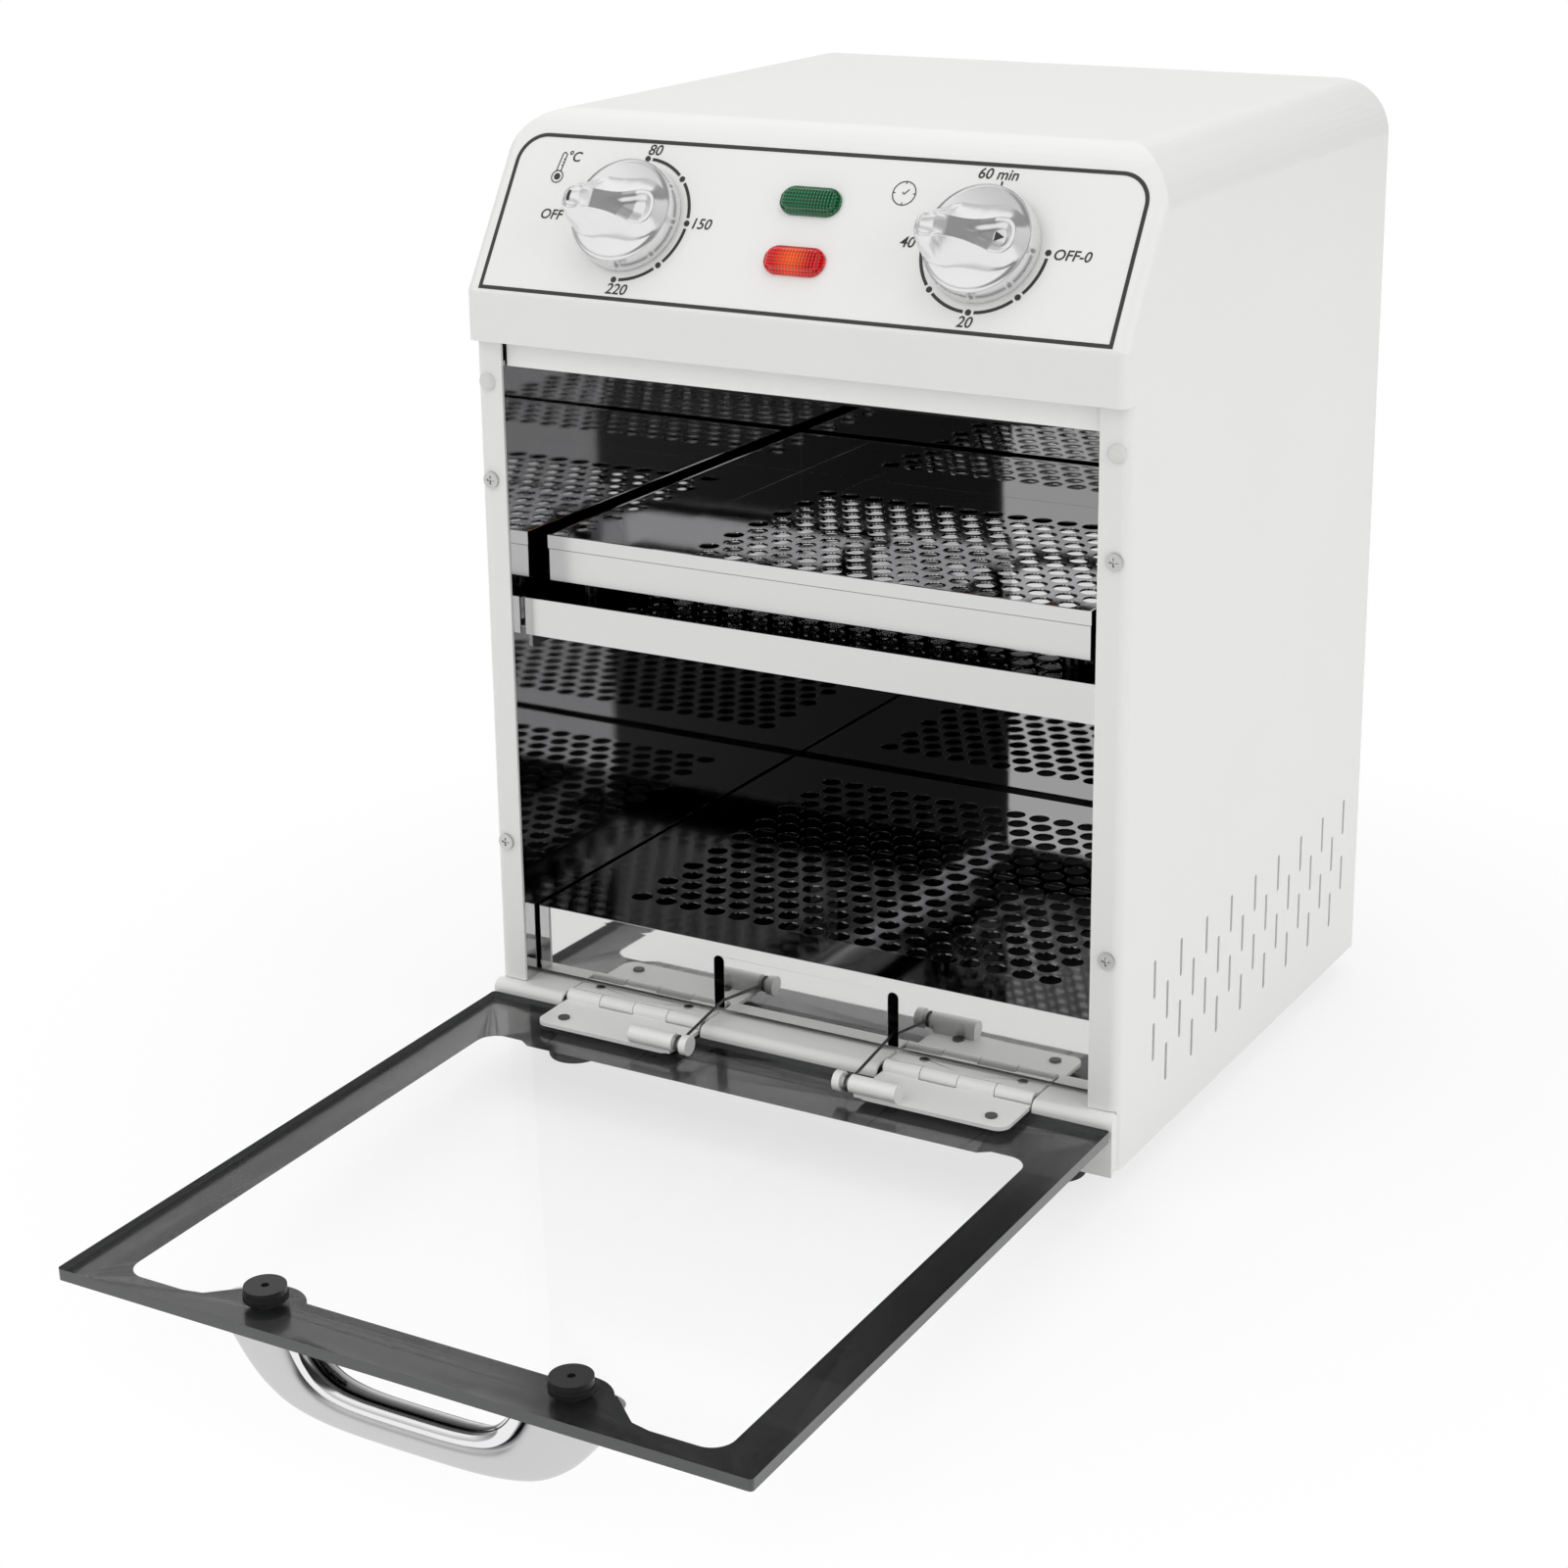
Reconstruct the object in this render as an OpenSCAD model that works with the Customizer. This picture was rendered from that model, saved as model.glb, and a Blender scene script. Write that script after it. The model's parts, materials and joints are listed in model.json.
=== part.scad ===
// Dry heat sterilizer: a bench cabinet with a drop-down glass door, a perforated
// shelf with a tray on it, and a sloped control panel with two dials.
// Origin: on the bench, under the middle of the case's front face.
// +Z is up, the front faces -Y and +X is to the right seen from the front.

/* [Case] */
// Width of the case
case_w = 270; // [250:1:320]
// Depth of the case from its front face to its back
case_d = 250; // [235:1:320]
// Height of the case above its feet
case_h = 366; // [352:1:420]
// Thickness of the outer sheets
sheet = 1.2; // [0.8:0.1:2]
// Radius of the bend between the sides and the top
roof_r = 21; // [12:1:30]
// Radius of the bends along the front edges
edge_r = 4; // [3:0.5:6]
// Width of each front post
post_w = 12; // [10:0.5:16]
// How far the posts stand behind the hood's lip
post_inset = 5; // [4:0.5:8]
// Height of the sill's top
sill_h = 23.3; // [22:0.1:26]
// Height of the lower post screws
screw_lo = 82; // [60:1:120]
// Drop from the hood's lower edge to the upper post screws
screw_drop = 54.5; // [34:0.5:84]
// Radius of the rolled front edge of the sill
sill_r = 3.5; // [2.5:0.5:4]
// Depth of the sill from front to back
sill_d = 20; // [19:0.5:24]

/* [Hood] */
// Height of the hood from its lower edge to the roof
hood_h = 82.5; // [76:0.5:90]
// Height of the upright lip below the slope
lip_h = 19; // [14:0.5:24]
// Lean of the control panel from upright, in degrees
slope = 32.2; // [25:0.2:38]
// Radius of the bend between the slope and the top
brow_r = 15; // [8:1:20]
// Width of the frame line's field on the control panel
field_w = 258; // [220:1:262]
// Height of the frame line's field along the slope
field_h = 63.8; // [56:0.2:66]
// Width of the printed lines
line_w = 1.5; // [0.8:0.1:2]
// Thickness of the printing
ink_t = 0.1; // [0.05:0.01:0.2]

/* [Dials] */
// Distance of the temperature dial from the middle, to the left
temp_x = 71.5; // [60:0.5:80]
// Distance of the timer dial from the middle, to the right
timer_x = 73; // [60:0.5:80]
// Height of both dials up the slope
dial_u = 33.4; // [30:0.2:36]
// Distance of the printed dial arcs from the knobs' skirt
arc_gap = 3.2; // [2:0.1:5]
// Radius of the knobs' skirt at the panel
knob_r = 20.8; // [16:0.2:21.5]
// Height of the knobs' skirt
skirt_h = 8; // [6:0.5:10]
// Height of the grip's nose above the panel
nose_h = 19; // [16:0.5:24]
// Gap between the knobs and the panel
knob_gap = 0.8; // [0.5:0.1:2]
// Diameter of the dial shafts
shaft_d = 6; // [5:0.5:8]
// Radial clearance of each shaft in its bushing
shaft_play = 0.05; // [0.02:0.01:0.09]

/* [Lamps] */
// Place of the lamps right of the middle
lamp_x = 1; // [-10:1:10]
// Height of the upper lamp up the slope
lamp_hi = 45.3; // [42:0.2:50]
// Height of the lower lamp up the slope
lamp_lo = 22.3; // [18:0.2:26]
// Length of a lamp lens
lamp_w = 24.5; // [18:0.5:28]
// Height of a lamp lens
lamp_h = 11; // [8:0.5:12]
// How far a lamp lens stands out
lamp_t = 3.6; // [2.5:0.1:5]

/* [Door] */
// Thickness of the door glass
glass_t = 4; // [3:0.5:5]
// How much narrower than the case the door is on each side
door_side = 0.25; // [0.2:0.05:3]
// Gap between the closed door's top edge and the hood
door_gap = 1.5; // [1:0.1:4]
// Sag of the open door below level, in degrees
door_sag = 1; // [0:0.5:3]
// Height of the hinge axis
hinge_z = 21.5; // [20.5:0.1:22.5]
// Distance of the hinge axis behind the front face
hinge_y = 5.5; // [5:0.1:6.5]
// Distance of the glass's near edge from the hinge axis
glass_near = 6.5; // [6.2:0.1:8]
// Distance of the glass's inner face from the hinge axis
glass_off = 2.2; // [2:0.1:2.5]
// Width of the dark border at the door's sides
border_side = 17.75; // [12:0.25:24]
// Width of the dark border at the hinge edge
border_near = 32; // [29:0.5:40]
// Width of the dark border at the far corners
border_far = 12.5; // [10:0.5:20]
// Width of the dark border between the handle bolts
border_mid = 24.5; // [22:0.5:32]
// Thickness of the dark enamel
enamel_t = 0.2; // [0.1:0.05:0.4]

/* [Handle] */
// Distance between the handle's bolts
bolt_gap = 120; // [100:1:140]
// Distance of the handle's bolts from the door's far edge
bolt_edge = 17.5; // [15:0.5:19]
// Length of the handle at the glass
grip_l = 156; // [140:1:176]
// Depth of the handle
grip_h = 34; // [30:0.5:38]
// Width of the handle across its band
grip_w = 16; // [12:0.5:18]
// Length of the bright liner at the glass
liner_l = 97; // [80:1:104]
// Depth of the bright liner
liner_h = 23.5; // [20:0.5:26]
// Thickness of the bright liner
liner_t = 5; // [3:0.5:7]
// Diameter of the bolts' washers
washer_d = 15.2; // [12:0.2:16]

/* [Hinges] */
// Distance of each hinge's inner end from the middle
leaf_in = 40; // [39.4:0.2:48]
// Length of each hinge
leaf_l = 62; // [48:0.5:66]
// Diameter of the hinge knuckles
knuckle_d = 6; // [5.6:0.1:6.4]
// Diameter of the hinge pins
hinge_pin_d = 2.5; // [2:0.1:3]
// Radial clearance of the hinge pins
pin_play = 0.05; // [0.02:0.01:0.09]
// Thickness of the hinge leaves
leaf_t = 1.5; // [1.2:0.1:1.6]
// Reach of the door leaves from the hinge axis
leaf_reach = 25.5; // [25.5:0.5:29]

/* [Stays] */
// Distance of the stay pins in front of the hinge axis
stay_y = 23.7; // [22:0.1:24]
// Height of the stay pins above the hinge axis
stay_z = 2.7; // [2.5:0.1:3]
// Distance of each stay wire from the middle
stay_x = 36.8; // [36.6:0.1:37]
// Diameter of the stay barrels
barrel_d = 7; // [6.6:0.1:7.4]
// Diameter of the stay pins
stay_pin_d = 4; // [3:0.1:4.4]
// Diameter of the stay wires
wire_d = 1.2; // [1:0.1:1.6]
// Distance from a stay pin to its wire's hook
wire_l = 51.5; // [46:0.5:56]
// Distance of the spring anchors behind the front face
anchor_y = 95; // [90:1:110]
// Height of the spring anchors
anchor_z = 42; // [38:0.5:44]
// Diameter of the stay springs
spring_d = 6; // [4:0.5:7]

/* [Chamber] */
// Thickness of the chamber's bright sheets
inner_t = 0.8; // [0.5:0.1:1]
// Distance of the chamber's back from the back of the case
rear_gap = 24; // [22:1:34]
// Height of the chamber's floor sheet
chamber_z = 12; // [10:0.5:13]
// Drop from the hood's lower edge to the chamber's ceiling
ceiling_drop = 9; // [8.5:0.5:13]
// Distance of the header strip behind the front face
header_y = 8; // [7.6:0.1:9]
// Drop from the hood's lower edge to the header strip's
header_drop = 10.2; // [10:0.1:15]
// Rise of the deck under the controls above the hood's lower edge
deck_rise = 16.5; // [13.5:0.5:17.5]
// Diameter of the heater tubes
heater_d = 6.5; // [5:0.5:8]
// Distance of the heater legs from the middle
heater_x = 85; // [70:1:95]
// Distance of the lower heater's bend behind the front face
heater_y = 46; // [42:1:60]
// How much further back the upper heater's bend lies
heater_set = 14; // [0:1:20]
// Distance of the rear heater brackets from the chamber's back
bracket_back = 46; // [30:1:60]
// Spacing of the heater brackets
bracket_p = 80; // [50:1:90]
// Distance of the terminal block from the back of the case
block_back = 100; // [80:1:120]

/* [Shelves] */
// Height of the floor plate's top
plate_z = 53; // [51:0.5:58]
// Distance of the floor plate's lip behind the front face
plate_y = 14.5; // [14.2:0.1:18]
// Height of the floor plate's front lip
plate_lip = 27.5; // [25:0.5:28]
// Width of the two wire slots in the floor plate's lip
slot_w = 4.4; // [4:0.1:5]
// Distance of the wire slots from the middle
slot_x = 38.2; // [37.6:0.1:38.4]
// Height of the shelf's top
shelf_z = 181.5; // [150:0.5:200]
// Distance of the shelf's lip behind the front face
shelf_y = 12.5; // [11:0.5:16]
// Height of the shelf's front lip
shelf_lip = 15; // [12:0.5:20]
// Gap between the shelf or floor plate and each chamber wall
wall_gap = 1.2; // [1.1:0.1:2]
// Mean gap between the tray's sides and the chamber's walls
tray_side = 8; // [6:0.5:20]
// Gap between the tray and the chamber's back
tray_back = 4; // [3.5:0.5:20]
// Height of the tray's walls
tray_h = 18.2; // [14:0.2:24]
// Distance of the tray's front behind the front face
tray_y = 25; // [20:0.5:26]
// How far the tray stands left of the middle
tray_shift = 3; // [0:0.5:3.5]
// Height of the tray's pressed feet
tray_foot = 4.3; // [3:0.1:6]
// Diameter of the round holes
hole_d = 8.5; // [6:0.5:9]
// Spacing of the round holes
hole_p = 11.3; // [11:0.1:14]

/* [Feet] */
// Diameter of the rubber feet
foot_d = 23; // [16:0.5:26]
// Height of the rubber feet
foot_h = 10; // [7:0.5:16]
// Distance of the feet from the sides
foot_x = 28; // [24:0.5:40]
// Distance of the feet from the front and the back
foot_y = 15; // [14:0.5:30]

/* [Vents] */
// Number of slot columns in each side
vent_n = 17; // [6:1:18]
// Distance from one slot column to the next
vent_p = 12.25; // [8:0.25:12.25]
// Length of each slot
vent_l = 15.3; // [10:0.1:18]
// Width of each slot
vent_w = 2; // [1.2:0.1:3]
// Height of the lowest row of slots
vent_z = 27; // [24:0.5:40]
// Rise from one row of slots to the next
vent_rise = 12.4; // [10:0.1:14]

/* [Hidden] */
$fn = 48;
seat = 0.3;
half_w = case_w / 2;
open_x = half_w - post_w;
hood_z = case_h - hood_h;
knee_z = hood_z + lip_h;
top_u = (case_h - knee_z) / cos(slope);
slip = 0.1;

// The door's own sizes, from the hinge axis outwards.
door_l = hood_z - door_gap - hinge_z - glass_near;
door_w = case_w - 2 * door_side;
glass_lo = -glass_off - glass_t;
far_y = -glass_near - door_l;
bolt_y = far_y + bolt_edge;
bump_r = washer_d / 2 + 5.5;

// The hinges: each has four knuckles, and both run door, sill, door, sill from the left.
knuckle_l = leaf_l / 4;
knuckle_r = knuckle_d / 2;
knuckle_cut = knuckle_r + 0.6;
notch_in = leaf_in - 1.5;
notch_out = leaf_in + leaf_l + 1;
notch_y = hinge_y + knuckle_r + 0.7;
leaf_back = sill_d - 3.5;
screw_in = leaf_in + 12;
screw_out = leaf_in + leaf_l - 9;

// The stays lie along the line from pin to anchor.
pin_y = hinge_y - stay_y * cos(door_sag) - stay_z * sin(door_sag);
pin_z = hinge_z + stay_z * cos(door_sag) - stay_y * sin(door_sag);
stay_run = sqrt(pow(anchor_y - pin_y, 2) + pow(anchor_z - pin_z, 2));
stay_tilt = atan2(anchor_z - pin_z, anchor_y - pin_y);
spring_l = stay_run - wire_l - 2.5;

shelf_w = 2 * (open_x - wall_gap);
side_flange = shelf_lip - 2;
rail_z = shelf_z - side_flange - seat;
ceiling_z = hood_z - ceiling_drop;
header_z = hood_z - header_drop;
deck_z = hood_z + deck_rise;
header_top = deck_z;
back_in = case_d - 2 * sheet;
chamber_d = case_d - rear_gap;
tray_w = 2 * (open_x - tray_side);
tray_d = chamber_d - tray_y - tray_back;
block_y = case_d - block_back;
sleeve_r = shaft_d / 2 + shaft_play;
bush_d = shaft_d + 3.4;
arc_r = knob_r + arc_gap;
frame_u = 1.2;
bezel = 1.6;

// The point where two edges meet at p is cut back to the tangent points of a bend of radius r.
function unit(v) = v / norm(v);
function bend(a, p, b, r) =
    let (u = unit(a - p), w = unit(b - p), half = acos(u * w) / 2, t = r / tan(half))
    [p + u * t, p + w * t, p + unit(u + w) * (r / sin(half))];

// A convex outline with a bend radius of its own at each corner.
module bent(pts, rad) {
    n = len(pts);
    b = [for (i = [0:n - 1]) bend(pts[(i + n - 1) % n], pts[i], pts[(i + 1) % n], rad[i])];
    difference() {
        polygon(pts);
        for (i = [0:n - 1])
            if (rad[i] > 0)
                difference() {
                    polygon([pts[i] + (pts[i] - b[i][2]) * 0.5, b[i][0], b[i][2], b[i][1]]);
                    translate(b[i][2]) circle(r = rad[i] * 1.0002);
                }
    }
}

module round_rect(w, h, r) {
    union() {
        square([w - 2 * r, h], center = true);
        square([w, h - 2 * r], center = true);
        for (x = [-1, 1], y = [-1, 1])
            translate([x * (w / 2 - r), y * (h / 2 - r)]) circle(r = r);
    }
}

module stadium(l, w) {
    square([l - w, w], center = true);
    for (x = [-1, 1]) translate([x * (l - w) / 2, 0]) circle(d = w);
}

// A box given by its lower and upper corner.
module span(a, b) {
    translate(a) cube(b - a);
}

// A profile drawn in Y and Z, run along X.
module along_x(x0, x1) {
    translate([x0, 0, 0]) rotate([90, 0, 90]) linear_extrude(x1 - x0) children();
}

// A profile drawn in X and Z, run along Y.
module along_y(y0, y1) {
    translate([0, y1, 0]) rotate([90, 0, 0]) linear_extrude(y1 - y0) children();
}

module along_z(z0, z1) {
    translate([0, 0, z0]) linear_extrude(z1 - z0) children();
}

module rod_x(x0, x1, d) {
    translate([x0, 0, 0]) rotate([0, 90, 0]) cylinder(h = x1 - x0, d = d);
}

module rod_y(y0, y1, d) {
    translate([0, y0, 0]) rotate([-90, 0, 0]) cylinder(h = y1 - y0, d = d);
}

// The whole part stands on its feet.
module placed() {
    translate([0, 0, foot_h]) children();
}

// Local axes of the control panel: X right, Y up the slope, Z out of the panel.
module on_panel(x, u) {
    translate([x, u * sin(slope), knee_z + u * cos(slope)]) rotate([90 - slope, 0, 0]) children();
}

// Local axes of the open door: its origin is the hinge axis.
module on_door() {
    translate([0, hinge_y, hinge_z]) rotate([door_sag, 0, 0]) children();
}

// Local axes of a stay: its origin is the stay pin and +Y runs to the anchor.
module on_stay(side) {
    translate([side * stay_x, pin_y, pin_z]) rotate([stay_tilt, 0, 0]) children();
}

// Staggered round holes over a field centred on the origin.
module holes(w, d) {
    nx = floor(w / hole_p);
    row = hole_p * sin(60);
    ny = floor(d / row);
    for (j = [0:ny])
        for (i = [0:nx - j % 2])
            translate([(i - nx / 2 + (j % 2) / 2) * hole_p, (j - ny / 2) * row])
                circle(d = hole_d, $fn = 24);
}

// The case.

// Outline of the case seen from the side, moved in by t.
module side_outline(t) {
    knee = [t, knee_z - t * tan(slope / 2)];
    brow = [(t + (case_h - t - knee_z) * sin(slope)) / cos(slope), case_h - t];
    bent([[t, -1], knee, brow, [case_d + 1, case_h - t], [case_d + 1, -1]],
        [0, edge_r - t, brow_r - t, 0, 0]);
}

// The case's solid form moved in by t: bent sides, top, hood and front edges.
module case_form(t) {
    intersection() {
        along_x(-half_w - 1, half_w + 1) side_outline(t);
        along_y(-1, case_d + 1) roof_outline(t);
        union() {
            along_z(-2, hood_z + t) front_edges(post_inset + t, t);
            along_z(hood_z + t - 0.01, case_h + 1) front_edges(t, t);
        }
        on_panel(0, 0) along_y(-case_h - 90, case_h) rotate(180) front_edges(t, t);
    }
}

// Outline of the case seen from the front, its top corners bent.
module roof_outline(t) {
    bent([[-half_w + t, -2], [half_w - t, -2], [half_w - t, case_h - t], [-half_w + t, case_h - t]],
        [0, 0, roof_r - t, roof_r - t]);
}

// Plan of the case from y0 back. Its front corners are bent outside and flat inside.
module front_edges(y0, t) {
    w = half_w - t + (t > 0 ? 0.2 : 0);
    c = 2 * edge_r - (edge_r - t) * sqrt(2) - 2 * t;
    back = 2 * case_d;
    if (t > 0)
        polygon([[c - w, y0], [w - c, y0], [w, y0 + c], [w, back], [-w, back], [-w, y0 + c]]);
    else
        bent([[-w, y0], [w, y0], [w, back], [-w, back]], [edge_r, edge_r, 0, 0]);
}

module vents(side) {
    for (i = [0:vent_n - 1], k = [0, 1])
        translate([side * half_w, case_d / 2 + (i - (vent_n - 1) / 2) * vent_p + 9,
                vent_z + (2 * k + (i + 1) % 2) * vent_rise])
            rotate([90, 0, 90]) translate([0, 0, -3]) linear_extrude(6) rotate(90)
                stadium(vent_l, vent_w);
}

module outer_cover() {
    color([0.89, 0.89, 0.885]) placed() difference() {
        union() {
            difference() {
                case_form(0);
                case_form(sheet);
            }
            rear_flange();
        }
        span([-half_w - 1, case_d, -3], [half_w + 1, case_d + 5, case_h + 1]);
        span([-half_w - 1, -2, -5], [half_w + 1, case_d + 1, 0]);
        span([-open_x, -1, -1], [open_x, post_inset + 2, hood_z]);
        span([-half_w + sheet, -1, -1], [half_w - sheet, post_inset + edge_r, sill_h + seat]);
        for (s = [-1, 1]) {
            vents(s);
            translate([s * post_mid(), 0, 0]) {
                for (z = post_screw_z()) translate([0, 0, z]) rod_y(0, 10, 3.4);
                translate([0, 0, bumper_z()]) rod_y(0, 10, 3);
            }
        }
        for (x = dial_xs()) on_panel(x, dial_u) {
            cylinder(h = 10, d = bush_d + 0.6, center = true);
            for (s = [-1, 1]) translate([0, s * control_screw_u(), 0])
                cylinder(h = 10, d = 3.2, center = true);
        }
        for (u = [lamp_lo, lamp_hi]) on_panel(lamp_x, u)
            translate([0, 0, -5]) linear_extrude(10) stadium(lamp_w - 2, lamp_h - 2);
        for (p = rear_screw_at()) translate([p[0], 0, p[1]]) rod_y(back_in - 2, case_d, 2.8);
    }
}

function post_mid() = half_w - post_w / 2 + 0.5;
function post_screw_z() = [screw_lo, hood_z - screw_drop];
function bumper_z() = hood_z - 16.5;
function dial_xs() = [-temp_x, timer_x];
function control_screw_u() = 14;
function rear_screw_at() = [for (x = [-half_w + 8, half_w - 8], z = [30, case_h / 2, case_h - 40]) [x, z]];

// Turned-in rim that the back panel is screwed to.
module rear_flange() {
    intersection() {
        case_form(sheet / 2);
        difference() {
            span([-half_w, back_in, 0], [half_w, case_d - sheet, case_h]);
            translate([-half_w + 14, back_in - 1, -1]) cube([case_w - 28, 4, case_h - 13]);
        }
    }
}

module base_pan() {
    color([0.89, 0.89, 0.885]) placed() difference() {
        union() {
            difference() {
                along_x(-half_w, half_w) sill_outline(0);
                along_x(-half_w + sheet, half_w - sheet) difference() {
                    sill_outline(sheet);
                    translate([sill_d - sheet, 0]) square([5, sill_h]);
                }
                span([-half_w - 1, sheet, -1], [half_w + 1, sill_d + 1, sheet]);
                for (s = [-1, 1]) sill_end(s);
            }
            span([-pan_x(), 0, 0], [pan_x(), back_in - seat, sheet]);
            for (s = [-1, 1]) {
                span([min(s * pan_x(), s * (pan_x() - sheet)), sill_d, 0],
                    [max(s * pan_x(), s * (pan_x() - sheet)), back_in - seat, 12]);
                span([min(s * (notch_in - sheet), s * (notch_out + sheet)), notch_y, seat_z() - sheet],
                    [max(s * (notch_in - sheet), s * (notch_out + sheet)), sill_d, sill_h - 0.05]);
            }
        }
        for (s = [-1, 1]) {
            span([min(s * notch_in, s * notch_out), -1, hinge_z - knuckle_r - 1],
                [max(s * notch_in, s * notch_out), notch_y, sill_h + 1]);
            span([min(s * notch_in, s * notch_out), notch_y - 1, seat_z()],
                [max(s * notch_in, s * notch_out), leaf_back + 0.2, sill_h + 1]);
            for (x = [screw_in, screw_out]) translate([s * x, sill_screw_y(), 0])
                cylinder(h = sill_h + 2, d = 2.4);
            for (y = [foot_y, case_d - foot_y]) translate([s * (half_w - foot_x), y, -1])
                cylinder(h = 5, d = 4.4);
        }
    }
}

function pan_x() = half_w - sheet - seat;
function seat_z() = sill_h - leaf_t;
function sill_screw_y() = (notch_y + leaf_back) / 2 + 0.6;

// Side outline of the front wall, rolled edge and sill, moved in by t.
module sill_outline(t) {
    bent([[t, 0], [t, sill_h - t], [sill_d - t, sill_h - t], [sill_d - t, t > 0 ? -1 : 0]],
        [0, sill_r - t, t > 0 ? 0 : 1, 0]);
}

// The sill is stepped in behind its corner returns, where the case's sides stand.
module sill_end(s) {
    translate([s > 0 ? pan_x() : -pan_x() - 5, post_inset - seat, -1]) cube([5, sill_d, sill_h + 5]);
}

module back_panel() {
    color([0.86, 0.86, 0.855]) placed() difference() {
        intersection() {
            span([-half_w, case_d - sheet, sheet], [half_w, case_d, case_h]);
            case_form(sheet + 0.25);
        }
        for (p = rear_screw_at()) translate([p[0], 0, p[1]]) rod_y(case_d - 5, case_d + 5, 3.4);
        for (i = [-6:6], z = [34, 56, deck_z + 22, deck_z + 40])
            translate([i * 12, case_d + 2, z]) rotate([90, 0, 0]) linear_extrude(8) rotate(90)
                stadium(vent_l, vent_w);
        translate([cord_x(), 0, cord_z()]) rod_y(case_d - 5, case_d + 5, 12.2);
    }
}

function cord_x() = half_w - 35;
function cord_z() = 26;

module header_strip() {
    color([0.84, 0.84, 0.835]) placed() {
        span([-open_x + 0.6, header_y, header_z], [open_x - 0.6, header_y + sheet, header_top]);
        span([-open_x + 0.6, header_y, header_top - sheet], [open_x - 0.6, header_y + 16, header_top]);
    }
}

// The chamber.

module liner_shell() {
    color([0.62, 0.62, 0.63]) placed() {
        y0 = post_inset + sheet + 0.2;
        for (s = [-1, 1]) {
            difference() {
                span([s > 0 ? open_x : -open_x - inner_t, y0, chamber_z],
                    [s > 0 ? open_x + inner_t : -open_x, chamber_d + inner_t, ceiling_z + inner_t]);
                span([-half_w, -1, -1], [half_w, sill_d + seat, sill_h + seat]);
            }
            difference() {
                span([s > 0 ? open_x : -half_w + 3.2, y0, sill_h + seat],
                    [s > 0 ? half_w - 3.2 : -open_x, y0 + inner_t, ceiling_z + inner_t]);
                for (z = post_screw_z()) translate([s * post_mid(), 0, z]) rod_y(0, 20, 2.6);
                translate([s * post_mid(), 0, bumper_z()]) rod_y(0, 20, 3);
            }
        }
        difference() {
            span([-open_x, chamber_d, chamber_z], [open_x, chamber_d + inner_t, ceiling_z + inner_t]);
            for (s = [-1, 1], z = heater_zs()) translate([s * heater_x, 0, z])
                rod_y(chamber_d - 5, chamber_d + 5, heater_d + 1);
            translate([bulb_x(), 0, bulb_z()]) rod_y(chamber_d - 5, chamber_d + 5, 3);
        }
        span([-open_x, header_y + sheet + seat, ceiling_z],
            [open_x, chamber_d + inner_t, ceiling_z + inner_t]);
    }
}

function heater_zs() = [chamber_z + 10, ceiling_z - 12];
function bulb_x() = 30;
function bulb_z() = ceiling_z - 18;

module liner_floor() {
    color([0.62, 0.62, 0.63]) placed()
        span([-open_x + seat, sill_d + seat, chamber_z - inner_t],
            [open_x - seat, chamber_d - seat, chamber_z]);
}

module insulation() {
    color([0.93, 0.92, 0.86]) placed() {
        x0 = open_x + inner_t + seat;
        for (s = [-1, 1])
            span([s > 0 ? x0 : -half_w + 3, post_inset + 6, sill_h + 1],
                [s > 0 ? half_w - 3 : -x0, back_in - 5, ceiling_z - 4]);
        span([-open_x, header_y + 14, ceiling_z + inner_t + seat],
            [open_x, chamber_d, header_top - sheet - seat]);
        span([-open_x, chamber_d + inner_t + seat, 64], [open_x, back_in - 2, ceiling_z - 22]);
        span([-open_x + 6, sill_d + 1, sheet + seat],
            [open_x - 6, chamber_d - 14, chamber_z - inner_t - seat]);
    }
}

module control_deck() {
    color([0.75, 0.76, 0.77]) placed() {
        w = half_w - sheet - seat;
        span([-w, header_y, deck_z], [w, back_in - 1, deck_z + sheet]);
        for (s = [-1, 1])
            span([s > 0 ? w - sheet : -w, header_y + 4, deck_z],
                [s > 0 ? w : -w + sheet, back_in - 1, deck_z + 9]);
    }
}

// A bright sheet with a folded front lip, side flanges and a field of round holes.
module shelf_sheet(y0, z, lip, flange, depth, margin) {
    hw = shelf_w / 2;
    along_z(z - inner_t, z) difference() {
        translate([-hw, y0]) square([shelf_w, depth]);
        translate([0, y0 + depth / 2 + 2]) holes(shelf_w - 2 * margin - hole_d, depth - 40 - hole_d);
    }
    span([-hw, y0, z - lip], [hw, y0 + inner_t, z - inner_t / 2]);
    for (s = [-1, 1])
        span([s > 0 ? hw - inner_t : -hw, y0 + 4, z - flange], [s > 0 ? hw : -hw + inner_t, y0 + depth,
            z - inner_t / 2]);
}

module floor_plate() {
    color([0.7, 0.7, 0.71]) placed() difference() {
        shelf_sheet(plate_y, plate_z, plate_lip, plate_z - sill_h - 2, chamber_d - plate_y - 4, 22);
        for (s = [-1, 1]) along_y(plate_y - 1, plate_y + 3) {
            top = plate_z - 5.5 - slot_w / 2;
            translate([s * slot_x, top]) circle(d = slot_w);
            translate([s * slot_x - slot_w / 2, 0]) square([slot_w, top]);
        }
    }
    color([0.7, 0.7, 0.71]) placed() for (s = [-1, 1])
        span([s > 0 ? shelf_w / 2 - inner_t : -shelf_w / 2, sill_d + 4, chamber_z],
            [s > 0 ? shelf_w / 2 : -shelf_w / 2 + inner_t, chamber_d - 4, sill_h + 3]);
}

module mid_shelf() {
    color([0.7, 0.7, 0.71]) placed()
        shelf_sheet(shelf_y, shelf_z, shelf_lip, side_flange, chamber_d - shelf_y - 4, 22);
}

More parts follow.
